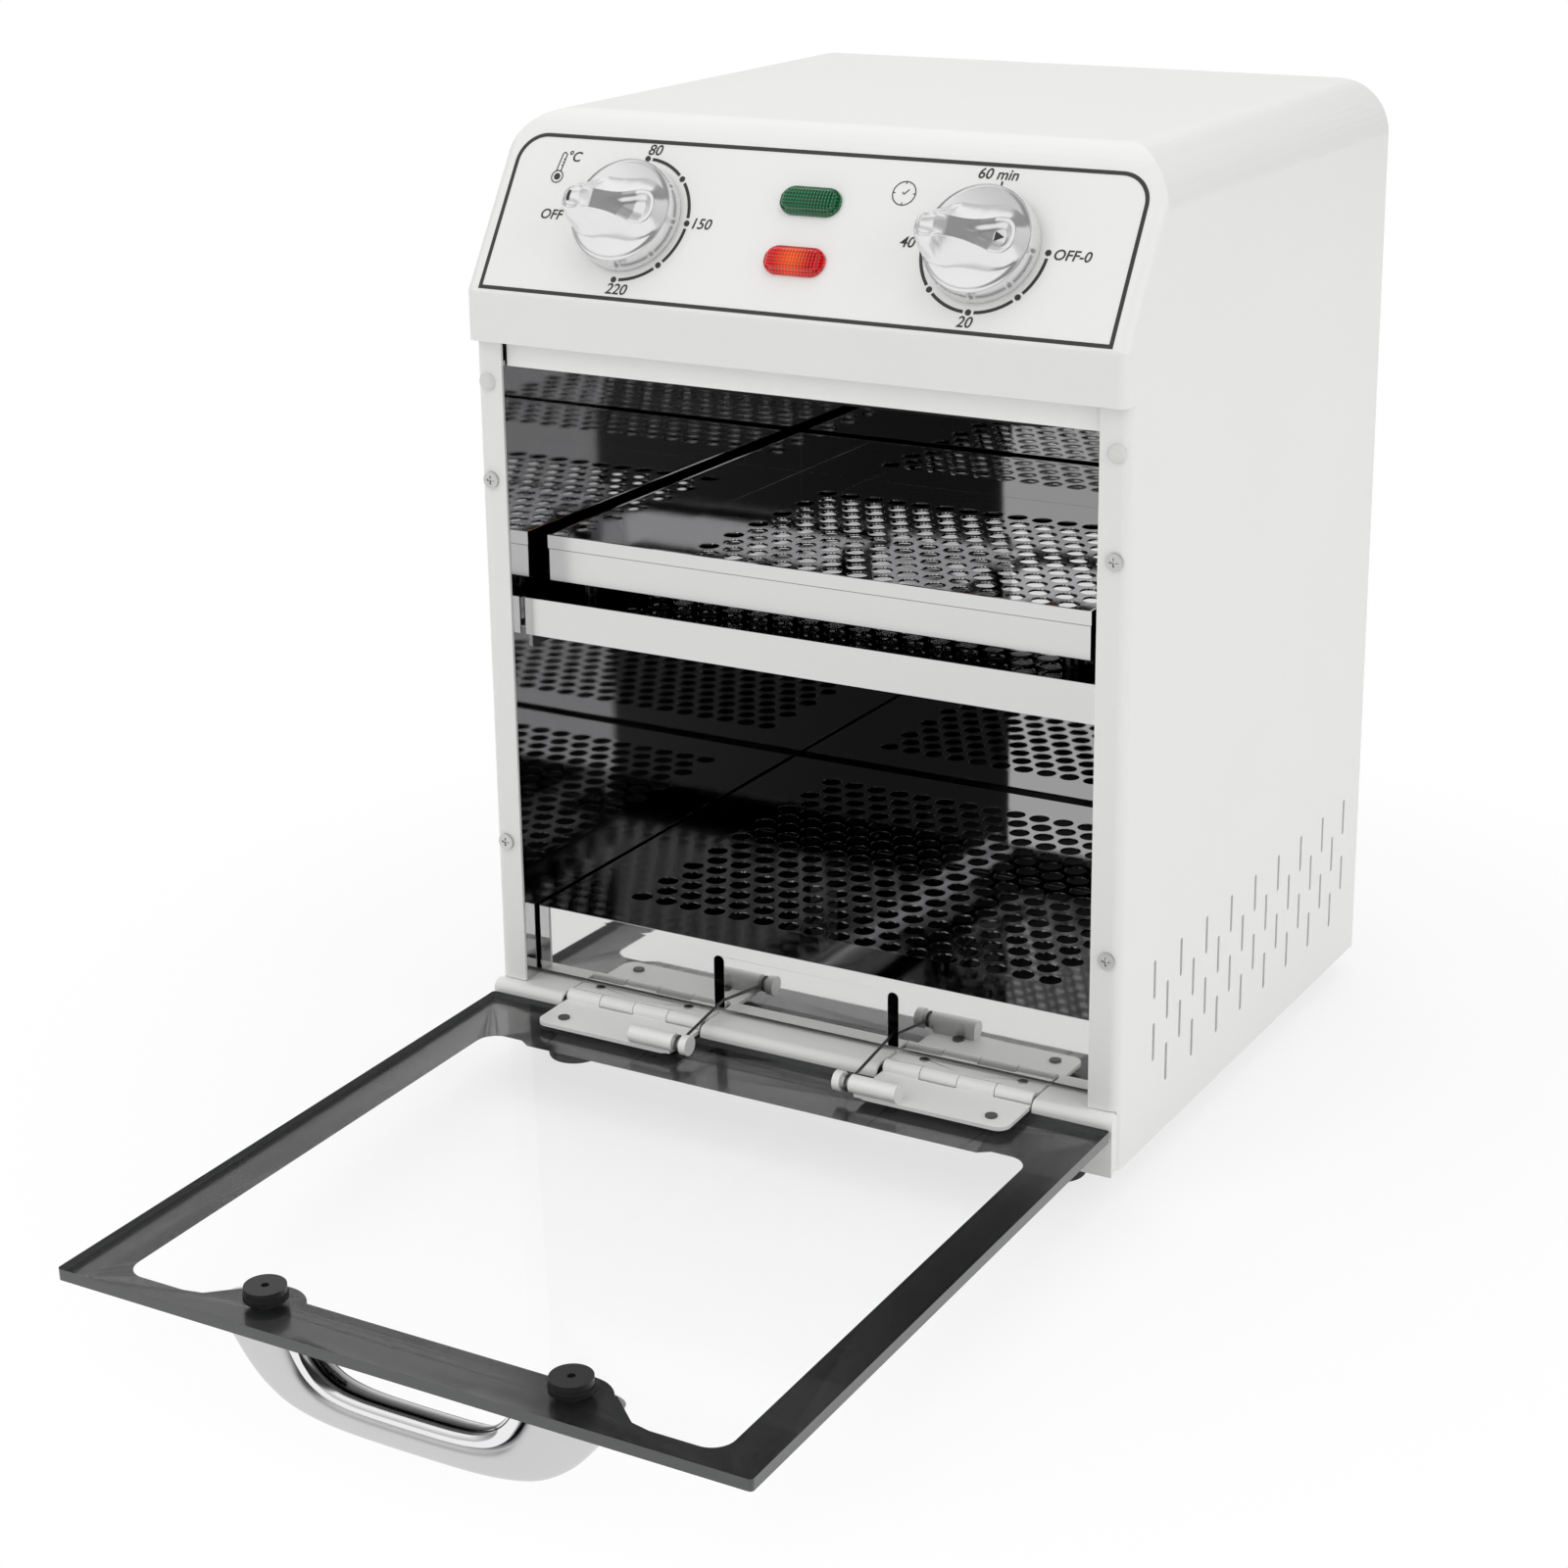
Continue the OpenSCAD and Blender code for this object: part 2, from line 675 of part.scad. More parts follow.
module shelf_rails() {
    color([0.6, 0.6, 0.61]) placed() for (s = [-1, 1]) {
        span([s > 0 ? open_x - 9 : -open_x, shelf_y + 5, rail_z - inner_t], [s > 0 ? open_x : -open_x + 9,
            chamber_d, rail_z]);
        span([s > 0 ? open_x - inner_t : -open_x, shelf_y + 5, rail_z - 8], [s > 0 ? open_x : -open_x + inner_t,
            chamber_d, rail_z]);
    }
}

module upper_tray() {
    color([0.72, 0.72, 0.73]) placed() translate([-tray_shift, tray_y, shelf_z + tray_foot]) {
        along_z(0, inner_t) difference() {
            translate([-tray_w / 2, 0]) square([tray_w, tray_d]);
            translate([0, tray_d / 2]) holes(tray_w - 44 - hole_d, tray_d - 44 - hole_d);
        }
        difference() {
            span([-tray_w / 2, 0, inner_t / 2], [tray_w / 2, tray_d, tray_h]);
            span([-tray_w / 2 + inner_t, inner_t, -1], [tray_w / 2 - inner_t, tray_d - inner_t, tray_h + 1]);
        }
        difference() {
            span([-tray_w / 2 - 0.35, -0.35, tray_h - 5.5], [tray_w / 2 + 0.35, tray_d + 0.35, tray_h]);
            span([-tray_w / 2 + 0.4, 0.4, tray_h - 6], [tray_w / 2 - 0.4, tray_d - 0.4, tray_h + 1]);
        }
        for (x = [-1, 1], y = [12, tray_d - 12]) translate([x * (tray_w / 2 - 12), y, -tray_foot + 0.02])
            cylinder(h = tray_foot + 0.2, d = 8);
    }
}

// A U-shaped heater: two legs from the back, joined by bends at the front.
module heater_tube(z, y0) {
    r = 14;
    translate([0, 0, z]) {
        for (s = [-1, 1]) {
            translate([s * heater_x, 0, 0]) rod_y(y0 + r, chamber_d + 6, heater_d);
            translate([s * heater_x, 0, 0]) rod_y(chamber_d + 5.5, chamber_d + 12, 3);
            translate([s * (heater_x - r), y0 + r, 0]) rotate([0, 0, s > 0 ? -90 : 180])
                rotate_extrude(angle = 90) translate([r, 0]) circle(d = heater_d);
        }
        translate([0, y0, 0]) rod_x(-heater_x + r, heater_x - r, heater_d);
    }
}

module lower_heater() {
    color([0.3, 0.29, 0.29]) placed() heater_tube(heater_zs()[0], heater_y);
}

module upper_heater() {
    color([0.3, 0.29, 0.29]) placed() heater_tube(heater_zs()[1], heater_y + heater_set);
}

module heater_brackets() {
    g = heater_d / 2 + slip;
    color([0.66, 0.66, 0.67]) placed() {
        for (s = [-1, 1], k = [0, 1])
            translate([s * heater_x, chamber_d - bracket_back - k * bracket_p, 0]) {
                difference() {
                    span([-6, -5, chamber_z], [6, 5, heater_zs()[0]]);
                    translate([0, 0, heater_zs()[0]]) rod_y(-6, 6, 2 * g);
                }
                difference() {
                    span([-6, -5, heater_zs()[1] - 5], [6, 5, ceiling_z]);
                    translate([0, 0, heater_zs()[1]]) rod_y(-6, 6, 2 * g);
                }
            }
    }
}

// The controls.

// Printed field: a frame with two rounded corners, an arc and dots round each dial.
module panel_print() {
    color([0.2, 0.2, 0.2]) placed() {
        on_panel(0, frame_u) translate([0, 0, 0.02]) linear_extrude(ink_t) difference() {
            frame_field(0);
            frame_field(line_w);
        }
        on_panel(-temp_x, dial_u) dial_arc(-90);
        on_panel(timer_x, dial_u) dial_arc(-180);
        on_panel(timer_x, dial_u + arc_r) translate([-0.35, -0.8, 0.02]) cube([0.7, 1.6, ink_t]);
        on_panel(-temp_x - arc_r, dial_u) translate([-1, -0.35, 0.02]) cube([2, 0.7, ink_t]);
    }
}

module frame_field(t) {
    w = field_w / 2 - t;
    bent([[-w, t], [w, t], [w, field_h - t], [-w, field_h - t]], [0, 0, 12 - t, 12 - t]);
}

// Half a circle in quarters of it, with a dot at each end and at each joint.
module dial_arc(a0) {
    for (k = [0:3]) rotate(a0 + k * 45 + 5) rotate_extrude(angle = 35)
        translate([arc_r - 0.6, 0.02]) square([1.2, ink_t]);
    for (k = [0:4]) rotate(a0 + k * 45) translate([arc_r, 0, 0.02]) cylinder(h = ink_t, d = 2.3, $fn = 24);
}

module control_box(w, h, depth) {
    difference() {
        translate([0, 0, -sheet - depth]) linear_extrude(depth - 0.02) round_rect(w, h, 3);
        translate([0, 0, -sheet - 14]) cylinder(h = 20, r = sleeve_r);
        for (s = [-1, 1]) translate([0, s * control_screw_u(), -sheet - 8]) cylinder(h = 20, d = 2.6);
    }
    difference() {
        translate([0, 0, -sheet - 0.5]) cylinder(h = sheet + 0.5, d = bush_d);
        translate([0, 0, -sheet - 2]) cylinder(h = 20, r = sleeve_r);
    }
}

module thermostat_body() {
    color([0.3, 0.3, 0.31]) placed() on_panel(-temp_x, dial_u) {
        control_box(40, 34, 20);
        for (x = [-12, 12]) translate([x, 0, -sheet - 26]) linear_extrude(6.5) square([6, 0.9], center = true);
    }
}

module timer_body() {
    color([0.78, 0.78, 0.74]) placed() on_panel(timer_x, dial_u) {
        control_box(40, 34, 18);
        translate([0, 2, -sheet - 23]) cylinder(h = 5.2, d = 26);
    }
}

// Bulb on two clips under the ceiling, its capillary leaving through the back.
module thermostat_bulb() {
    r = 6;
    color([0.72, 0.45, 0.25]) placed() translate([0, chamber_d - 10, bulb_z()]) {
        rod_x(-50, 24, 6);
        rod_x(20, bulb_x() - r + 0.01, 1.6);
        translate([bulb_x() - r, r, 0]) rotate([0, 0, -90]) rotate_extrude(angle = 90)
            translate([r, 0]) circle(d = 1.6);
        translate([bulb_x(), 0, 0]) rod_y(r - 0.01, 16, 1.6);
        for (x = [-35, 10]) translate([x, 0, 0]) difference() {
            span([-4, -4, 0], [4, 4, ceiling_z - bulb_z()]);
            rod_x(-5, 5, 5.9);
        }
    }
}

module control_screws() {
    color([0.75, 0.75, 0.76]) placed() for (x = dial_xs(), s = [-1, 1])
        on_panel(x, dial_u + s * control_screw_u()) {
            cylinder(h = 0.6, d = 5);
            translate([0, 0, -7]) cylinder(h = 7.2, d = 2.6 - 0.04);
        }
}

module lamp(u) {
    on_panel(lamp_x, u) {
        linear_extrude(bezel) stadium(lamp_w, lamp_h);
        translate([0, 0, bezel - 0.1]) linear_extrude(lamp_t - bezel + 0.1) stadium(lamp_w - 1.6, lamp_h - 1.6);
        translate([0, 0, -sheet - 4]) linear_extrude(sheet + 4.1) stadium(lamp_w - 2.6, lamp_h - 2.6);
    }
}

module run_lamp() {
    color([0.02, 0.42, 0.2]) placed() lamp(lamp_hi);
}

module power_lamp() {
    color([0.86, 0.05, 0.05]) placed() lamp(lamp_lo);
}

module lamp_holders() {
    color([0.12, 0.12, 0.12]) placed() for (u = [lamp_lo, lamp_hi]) on_panel(lamp_x, u) {
        translate([0, 0, -sheet - 16]) linear_extrude(12) round_rect(lamp_w - 4, lamp_h - 0.6, 1.5);
        for (x = [-6, 6]) translate([x, 0, -sheet - 22]) linear_extrude(6.2) square([3, 0.8], center = true);
    }
}

// A domed skirt with a wing grip: nose over the left rim, scooped towards the right.
module knob_form() {
    rim = knob_r - 0.8;
    z1 = knob_gap + skirt_h;
    difference() {
        union() {
            rotate_extrude($fn = 72) polygon([[0, knob_gap], [knob_r, knob_gap], [knob_r, knob_gap + 1],
                [rim, z1 - 0.6], [rim - 0.6, z1], [rim - 3, z1 + 0.5], [0, z1 + 1.6]]);
            intersection() {
                rotate([90, 0, 0]) translate([0, 0, -9]) linear_extrude(18) polygon([[-rim, z1 - 2],
                    [rim * 0.84, z1 - 2], [rim * 0.86, z1 + 2.5], [rim * 0.5, z1 + 3.4], [rim * 0.05, z1 + 5.6],
                    [-rim * 0.45, nose_h], [-rim * 0.9, nose_h - 1], [-rim * 1.02, nose_h - 5]]);
                translate([0, 0, 1]) linear_extrude(nose_h) union() {
                    translate([-rim * 0.62, 0]) circle(r = rim * 0.4);
                    translate([rim * 0.46, 0]) circle(r = rim * 0.4);
                    polygon([[-rim * 0.62, -rim * 0.4], [0, -rim * 0.31], [rim * 0.46, -rim * 0.4],
                        [rim * 0.46, rim * 0.4], [0, rim * 0.31], [-rim * 0.62, rim * 0.4]]);
                }
            }
        }
        difference() {
            translate([0, 0, -1]) cylinder(h = knob_gap + skirt_h - 1, r = rim - 2.2);
            cylinder(h = 20, d = shaft_d + 4);
        }
        translate([0, 0, -1]) cylinder(h = z1 + 2.6, d = shaft_d + 0.04);
    }
}

module temperature_knob() {
    color([0.8, 0.8, 0.82]) placed() on_panel(-temp_x, dial_u) knob_form();
}

module timer_knob() {
    color([0.8, 0.8, 0.82]) placed() on_panel(timer_x, dial_u) knob_form();
}

module shaft(x) {
    on_panel(x, dial_u) translate([0, 0, -sheet - 13.5])
        cylinder(h = sheet + 13.5 + knob_gap + skirt_h + 1, d = shaft_d);
}

module temperature_shaft() {
    color([0.7, 0.66, 0.5]) placed() shaft(-temp_x);
}

module timer_shaft() {
    color([0.7, 0.66, 0.5]) placed() shaft(timer_x);
}

// The door.

// Outline of the door in X and Y, its near edge at -glass_near.
module door_outline() {
    translate([0, -glass_near - door_l / 2]) round_rect(door_w, door_l, 1.5);
}

// The clear field: drawn in from both ends, with a bay round each handle bolt.
module window() {
    x1 = door_w / 2 - border_side;
    y0 = -glass_near - border_near;
    y1 = far_y + border_far;
    difference() {
        translate([0, (y0 + y1) / 2 + 1.5]) round_rect(2 * x1, y0 - y1 + 3, 8);
        polygon([[-x1 + 14, y0 + 4], [-x1 + 20, y0], [x1 - 20, y0], [x1 - 14, y0 + 4], [0, y0 + 9]]);
        x2 = bolt_gap / 2;
        polygon([[-x2 - 36, y1 - 1], [-x2 - 24, y1 + 1.5], [-x2 - 12, far_y + border_mid],
            [x2 + 12, far_y + border_mid], [x2 + 24, y1 + 1.5], [x2 + 36, y1 - 1]]);
        for (s = [-1, 1]) translate([s * bolt_gap / 2, bolt_y]) circle(r = bump_r);
    }
}

module door_glass() {
    color([0.75, 0.85, 0.85, 0.35]) placed() on_door() difference() {
        along_z(glass_lo, -glass_off) door_outline();
        for (s = [-1, 1]) {
            translate([s * bolt_gap / 2, bolt_y, glass_lo - 1]) cylinder(h = glass_t + 2, d = 6);
            for (x = [screw_in, screw_out]) translate([s * x, leaf_screw_y(), glass_lo - 1])
                cylinder(h = glass_t + 2, d = 4.4);
        }
    }
}

function leaf_screw_y() = -(leaf_reach - 7.2);

module door_border() {
    color([0.26, 0.27, 0.28]) placed() on_door() difference() {
        along_z(glass_lo - enamel_t, glass_lo) difference() {
            door_outline();
            window();
        }
        for (s = [-1, 1]) {
            translate([s * bolt_gap / 2, bolt_y, glass_lo - 3]) cylinder(h = 6, d = 6);
            for (x = [screw_in, screw_out]) translate([s * x, leaf_screw_y(), glass_lo - 3])
                cylinder(h = 6, d = 4.4);
        }
    }
}

// Arch of length l at the glass and depth h, with shoulders of radius r.
module arch(l, h, r, lean) {
    bent([[-l / 2, 0], [-l / 2 + lean, -h], [l / 2 - lean, -h], [l / 2, 0]], [0, r, r, 0]);
}

module handle_grip() {
    y0 = bolt_y - grip_w / 2;
    color([0.72, 0.72, 0.73]) placed() on_door() translate([0, 0, glass_lo - enamel_t]) difference() {
        intersection() {
            along_y(y0, y0 + grip_w) arch(grip_l, grip_h, 40, 24);
            along_x(-grip_l / 2, grip_l / 2) translate([bolt_y, -grip_h / 2 + 5])
                round_rect(grip_w, grip_h + 10, 5);
        }
        along_y(y0 - 1, y0 + grip_w + 1) {
            arch(liner_l, liner_h, 16, 11);
            translate([-liner_l / 2, -0.01]) square([liner_l, 2]);
        }
        for (s = [-1, 1]) translate([s * bolt_gap / 2, bolt_y, -14]) cylinder(h = 20, d = 5);
    }
}

module handle_liner() {
    y0 = bolt_y - grip_w / 2 - 0.4;
    color([0.82, 0.82, 0.84]) placed() on_door() translate([0, 0, glass_lo - enamel_t])
        along_y(y0, y0 + grip_w + 0.8) difference() {
            arch(liner_l, liner_h, 16, 11);
            translate([0, 0.01]) arch(liner_l - 2 * liner_t - 2, liner_h - liner_t, 11, 9);
        }
}

module handle_bolts() {
    color([0.08, 0.08, 0.08]) placed() on_door() for (s = [-1, 1])
        translate([s * bolt_gap / 2, bolt_y, 0]) difference() {
            union() {
                translate([0, 0, -glass_off + 2]) cylinder(h = 2.6, d = washer_d - 0.8);
                translate([0, 0, glass_lo - enamel_t - 13]) cylinder(h = glass_t + 15.4, d = 4.96);
            }
            translate([0, 0, -glass_off + 3.4]) cylinder(h = 3, d = 3, $fn = 6);
        }
}

module handle_washers() {
    color([0.06, 0.06, 0.06]) placed() on_door() for (s = [-1, 1])
        translate([s * bolt_gap / 2, bolt_y, -glass_off]) difference() {
            cylinder(h = 2, d = washer_d);
            translate([0, 0, -1]) cylinder(h = 4, d = 5.2);
        }
}

// The hinges and stays.

// Spans of the knuckles along X on one side: even ones turn with the door.
function knuckle_x(s, k) =
    let (x0 = s > 0 ? leaf_in : -leaf_in - leaf_l) [x0 + k * knuckle_l, x0 + (k + 1) * knuckle_l];

module knuckle(s, k) {
    x = knuckle_x(s, k);
    rod_x(x[0] + 0.15, x[1] - 0.15, knuckle_d);
}

module pin_hole(s) {
    x = knuckle_x(s, 0)[0];
    rod_x(x - 1, x + leaf_l + 1, hinge_pin_d + 2 * pin_play);
}

module door_leaf(s) {
    mid = s * (leaf_in + leaf_l / 2);
    b_in = min(s * (stay_x + wire_d / 2 + 1), s * (leaf_in + 17.8));
    b_out = max(s * (stay_x + wire_d / 2 + 1), s * (leaf_in + 17.8));
    on_door() difference() {
        union() {
            for (k = [0, 2]) {
                knuckle(s, k);
                x = knuckle_x(s, k);
                span([x[0] + 0.15, -knuckle_cut - 1, -glass_off], [x[1] - 0.15, 0, -glass_off + leaf_t]);
            }
            along_z(-glass_off, -glass_off + leaf_t)
                translate([mid, -(leaf_reach + knuckle_cut) / 2]) leaf_plan(leaf_reach - knuckle_cut);
            translate([0, -stay_y, stay_z]) rod_x(b_in, b_out, barrel_d);
            span([max(b_in, mid - leaf_l / 2), -stay_y - 1.8, -glass_off + 0.5],
                [min(b_out, mid + leaf_l / 2), -stay_y + 3.4, stay_z - 1]);
        }
        pin_hole(s);
        translate([0, -stay_y, stay_z]) rod_x(b_in - 1, b_out + 1, stay_pin_d);
        for (x = [screw_in, screw_out]) translate([s * x, leaf_screw_y(), -glass_off - 1])
            cylinder(h = leaf_t + 1, d = 3.2);
        for (x = [screw_in, screw_out]) translate([s * x, leaf_screw_y(), -glass_off + leaf_t])
            cylinder(h = 9, d = 5.4);
    }
}

module leaf_plan(d) {
    difference() {
        square([leaf_l, d], center = true);
        for (s = [-1, 1]) translate([s * leaf_l / 2, -d / 2]) rotate(s > 0 ? 90 : 0) difference() {
            square([5, 5]);
            translate([5, 5]) circle(r = 5);
            translate([5, 0]) square(9);
        }
    }
}

module left_door_leaf() {
    color([0.87, 0.87, 0.865]) placed() door_leaf(-1);
}

module right_door_leaf() {
    color([0.87, 0.87, 0.865]) placed() door_leaf(1);
}

module sill_leaf(s) {
    x0 = s > 0 ? leaf_in : -leaf_in - leaf_l;
    difference() {
        union() {
            for (k = [1, 3]) {
                translate([0, hinge_y, hinge_z]) knuckle(s, k);
                x = knuckle_x(s, k);
                span([x[0] + 0.15, hinge_y, seat_z()], [x[1] - 0.15, notch_y + 1, sill_h]);
            }
            span([x0, notch_y, seat_z()], [x0 + leaf_l, leaf_back, sill_h]);
        }
        translate([0, hinge_y, hinge_z]) pin_hole(s);
        for (x = [screw_in, screw_out]) translate([s * x, sill_screw_y(), 0]) cylinder(h = sill_h + 2, d = 2.4);
    }
}

module left_sill_leaf() {
    color([0.87, 0.87, 0.865]) placed() sill_leaf(-1);
}

module right_sill_leaf() {
    color([0.87, 0.87, 0.865]) placed() sill_leaf(1);
}

module hinge_pins() {
    color([0.7, 0.7, 0.71]) placed() translate([0, hinge_y, hinge_z]) for (s = [-1, 1]) {
        x = knuckle_x(s, 0)[0];
        rod_x(x + 0.2, x + leaf_l - 0.2, hinge_pin_d);
    }
}

module leaf_screws() {
    color([0.3, 0.3, 0.31]) placed() on_door() for (s = [-1, 1], x = [screw_in, screw_out])
        translate([s * x, leaf_screw_y(), 0]) {
            translate([0, 0, -glass_off + leaf_t]) cylinder(h = 0.7, d = 4.6);
            translate([0, 0, glass_lo - enamel_t - 2])
                cylinder(h = glass_t + enamel_t + leaf_t + 2.2, d = 3.16);
            translate([0, 0, glass_lo - enamel_t - 2]) cylinder(h = 2, d = 7);
        }
}

module sill_screws() {
    color([0.8, 0.8, 0.8]) placed() for (s = [-1, 1], x = [screw_in, screw_out])
        translate([s * x, sill_screw_y(), 0]) {
            translate([0, 0, seat_z() - 5]) cylinder(h = leaf_t + 5.1, d = 2.36);
            translate([0, 0, sill_h]) cylinder(h = 0.5, d = 3.6);
        }
}

module stay_pins() {
    color([0.85, 0.85, 0.84]) placed() on_door() for (s = [-1, 1]) translate([0, -stay_y, stay_z]) {
        a = s * (stay_x - wire_d / 2 - 1.4);
        b = s * (leaf_in + 17.8);
        rod_x(min(a, b), max(a, b), stay_pin_d - 0.02);
        h = s * (stay_x - wire_d / 2 - 4.4);
        rod_x(min(a, h), max(a, h), barrel_d + 0.8);
    }
}

// A stay wire: a loop round its pin, a straight run, and a hook for the spring.
module stay_wire(s) {
    loop_r = stay_pin_d / 2 + slip + wire_d / 2;
    on_stay(s) {
        rotate([0, 90, 0]) rotate_extrude() translate([loop_r, 0]) circle(d = wire_d, $fn = 16);
        rod_y(loop_r, wire_l - 1.8, wire_d);
        translate([0, wire_l, 0]) rotate([0, 90, 0]) rotate_extrude()
            translate([1.9, 0]) circle(d = wire_d, $fn = 16);
    }
}

module left_stay_wire() {
    color([0.45, 0.45, 0.46]) placed() stay_wire(-1);
}

module right_stay_wire() {
    color([0.45, 0.45, 0.46]) placed() stay_wire(1);
}

module stay_springs() {
    color([0.6, 0.6, 0.61]) placed() for (s = [-1, 1]) on_stay(s)
        rod_y(wire_l + 2.8, wire_l + spring_l - 0.9, spring_d);
}

// A bent strip each side that holds the spring's far end.
module spring_anchor() {
    color([0.66, 0.66, 0.67]) placed() for (s = [-1, 1]) translate([s * stay_x, anchor_y, 0]) {
        span([-6, 0, chamber_z], [6, 16, chamber_z + sheet]);
        difference() {
            span([-6, 0, chamber_z], [6, sheet, anchor_z + 6]);
            translate([0, 0, anchor_z]) rod_y(-1, 4, 3);
        }
    }
}

// Feet, screws and electrical pieces.

module at_feet() {
    for (s = [-1, 1], y = [foot_y, case_d - foot_y]) translate([s * (half_w - foot_x), y, -foot_h]) children();
}

module feet() {
    color([0.06, 0.06, 0.06]) placed() at_feet() difference() {
        cylinder(h = foot_h, d = foot_d);
        translate([0, 0, -1]) cylinder(h = 6, d = 11);
        translate([0, 0, -1]) cylinder(h = foot_h + 2, d = 4.4);
    }
}

module foot_screws() {
    color([0.7, 0.7, 0.71]) placed() at_feet() {
        translate([0, 0, 2.4]) cylinder(h = 2.6, d = 8);
        translate([0, 0, 4.9]) cylinder(h = foot_h + sheet - 4.9 + 5, d = 4);
        translate([0, 0, foot_h + sheet]) cylinder(h = 3.2, r = 4.04, $fn = 6);
    }
}

module bumpers() {
    color([0.85, 0.85, 0.84]) placed() for (s = [-1, 1]) translate([s * post_mid(), 0, bumper_z()]) {
        rod_y(hinge_y - glass_off + 0.2, post_inset, 7);
        rod_y(post_inset - 0.1, post_inset + sheet + 1.4, 2.9);
    }
}

module post_screws() {
    color([0.78, 0.78, 0.78]) placed() for (s = [-1, 1], z = post_screw_z())
        translate([s * post_mid(), 0, z]) difference() {
            union() {
                rod_y(post_inset - 1.1, post_inset, 6.4);
                rod_y(post_inset - 0.1, post_inset + 5.5, 2.56);
            }
            for (a = [0, 90]) translate([0, post_inset - 1.2, 0]) rotate([0, a, 0])
                cube([3.4, 1.4, 0.8], center = true);
        }
}

module rear_screws() {
    color([0.78, 0.78, 0.78]) placed() for (p = rear_screw_at()) translate([p[0], 0, p[1]]) difference() {
        union() {
            rod_y(case_d, case_d + 1.6, 6);
            rod_y(case_d - 6, case_d + 0.1, 2.76);
        }
        for (a = [0, 90]) translate([0, case_d + 1.6, 0]) rotate([0, a, 0])
            cube([3.4, 1.6, 0.8], center = true);
    }
}

module terminal_block() {
    color([0.9, 0.9, 0.88]) placed() translate([20, block_y, deck_z + sheet]) difference() {
        span([-26, -9, 0], [26, 9, 14]);
        for (i = [-2:2]) translate([i * 10, 0, 4]) cylinder(h = 20, d = 4);
    }
}

module thermal_cutout() {
    color([0.8, 0.78, 0.7]) placed() translate([-60, block_y, deck_z + sheet]) {
        linear_extrude(1) round_rect(30, 12, 3);
        cylinder(h = 9, d = 16);
    }
}

// Harness on the deck, from the terminal block to the cutout and both controls.
module wiring() {
    d = 3.4;
    z = deck_z + sheet + d / 2;
    color([0.75, 0.2, 0.15]) placed() {
        for (y = [-30, -20]) translate([0, block_y + y, z]) rod_x(-70, 60, d);
        for (x = [-70, 60]) translate([x, block_y, deck_z + sheet]) span([-3, -34, 0], [3, -16, 4.4]);
        for (x = [0, 30]) translate([x, block_y, z]) rod_y(-20, -9.1, d);
    }
}

module cord_inlet() {
    color([0.1, 0.1, 0.1]) placed() translate([cord_x(), case_d, cord_z()]) difference() {
        union() {
            rod_y(0, 3, 20);
            rod_y(2.9, 5, 15);
            rod_y(-14, 0.1, 12);
            translate([0, -sheet, 0]) rotate([90, 0, 0]) cylinder(h = 3, d = 18, $fn = 6);
        }
        rod_y(-20, 20, 7.2);
    }
}

outer_cover();
base_pan();
back_panel();
header_strip();
liner_shell();
liner_floor();
insulation();
control_deck();
floor_plate();
shelf_rails();
lower_heater();
upper_heater();
heater_brackets();
thermostat_body();
timer_body();
thermostat_bulb();
control_screws();
panel_print();
run_lamp();
power_lamp();
lamp_holders();
left_sill_leaf();
right_sill_leaf();
hinge_pins();
sill_screws();
spring_anchor();
stay_springs();
feet();
foot_screws();
bumpers();
post_screws();
rear_screws();
terminal_block();
thermal_cutout();
wiring();
cord_inlet();
door_glass();
door_border();
handle_grip();
handle_liner();
handle_bolts();
handle_washers();
left_door_leaf();
right_door_leaf();
leaf_screws();
stay_pins();
left_stay_wire();
right_stay_wire();
mid_shelf();
upper_tray();
temperature_knob();
temperature_shaft();
timer_knob();
timer_shaft();
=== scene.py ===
import bpy, bmesh, json, math
import numpy as np
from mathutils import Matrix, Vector

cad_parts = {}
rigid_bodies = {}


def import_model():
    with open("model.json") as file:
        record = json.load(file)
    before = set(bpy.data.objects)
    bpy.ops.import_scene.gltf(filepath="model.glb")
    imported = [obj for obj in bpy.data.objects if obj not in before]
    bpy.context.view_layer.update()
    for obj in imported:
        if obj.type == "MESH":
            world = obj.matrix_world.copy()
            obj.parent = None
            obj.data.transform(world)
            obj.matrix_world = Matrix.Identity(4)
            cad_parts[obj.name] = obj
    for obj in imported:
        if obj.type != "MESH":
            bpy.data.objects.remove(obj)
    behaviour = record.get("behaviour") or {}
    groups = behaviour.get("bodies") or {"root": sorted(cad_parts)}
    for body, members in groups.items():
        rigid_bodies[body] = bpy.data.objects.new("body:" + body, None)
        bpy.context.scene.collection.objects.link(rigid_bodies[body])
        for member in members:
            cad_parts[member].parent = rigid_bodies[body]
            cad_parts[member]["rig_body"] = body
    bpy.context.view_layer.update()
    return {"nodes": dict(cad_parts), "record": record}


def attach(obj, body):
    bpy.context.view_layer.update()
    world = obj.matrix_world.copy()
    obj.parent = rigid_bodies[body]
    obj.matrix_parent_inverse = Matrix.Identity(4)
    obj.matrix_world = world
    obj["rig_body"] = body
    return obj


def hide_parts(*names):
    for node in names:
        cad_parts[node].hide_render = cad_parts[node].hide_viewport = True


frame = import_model()
nodes = frame["nodes"]
subparts = frame["record"]["subparts"]
slot_of = {part["node"]: part["material_slot"] for part in subparts}

# Places that the new pieces share with the cabinet, in millimetres; heights are above the feet.
MM = 0.001
FOOT = 10.0
KNEE_Z = 302.5
SLOPE, SAG = math.radians(32.2), math.radians(1.0)
HINGE = np.array([0.0, 5.5, 21.5])
DIAL_U, TEMP_X, TIMER_X = 33.4, -71.5, 73.0
LAMP_X, RUN_U, POWER_U = 1.0, 45.3, 22.3
PRINT_LIFT = 0.11
FULL_TURN = 2 * math.pi

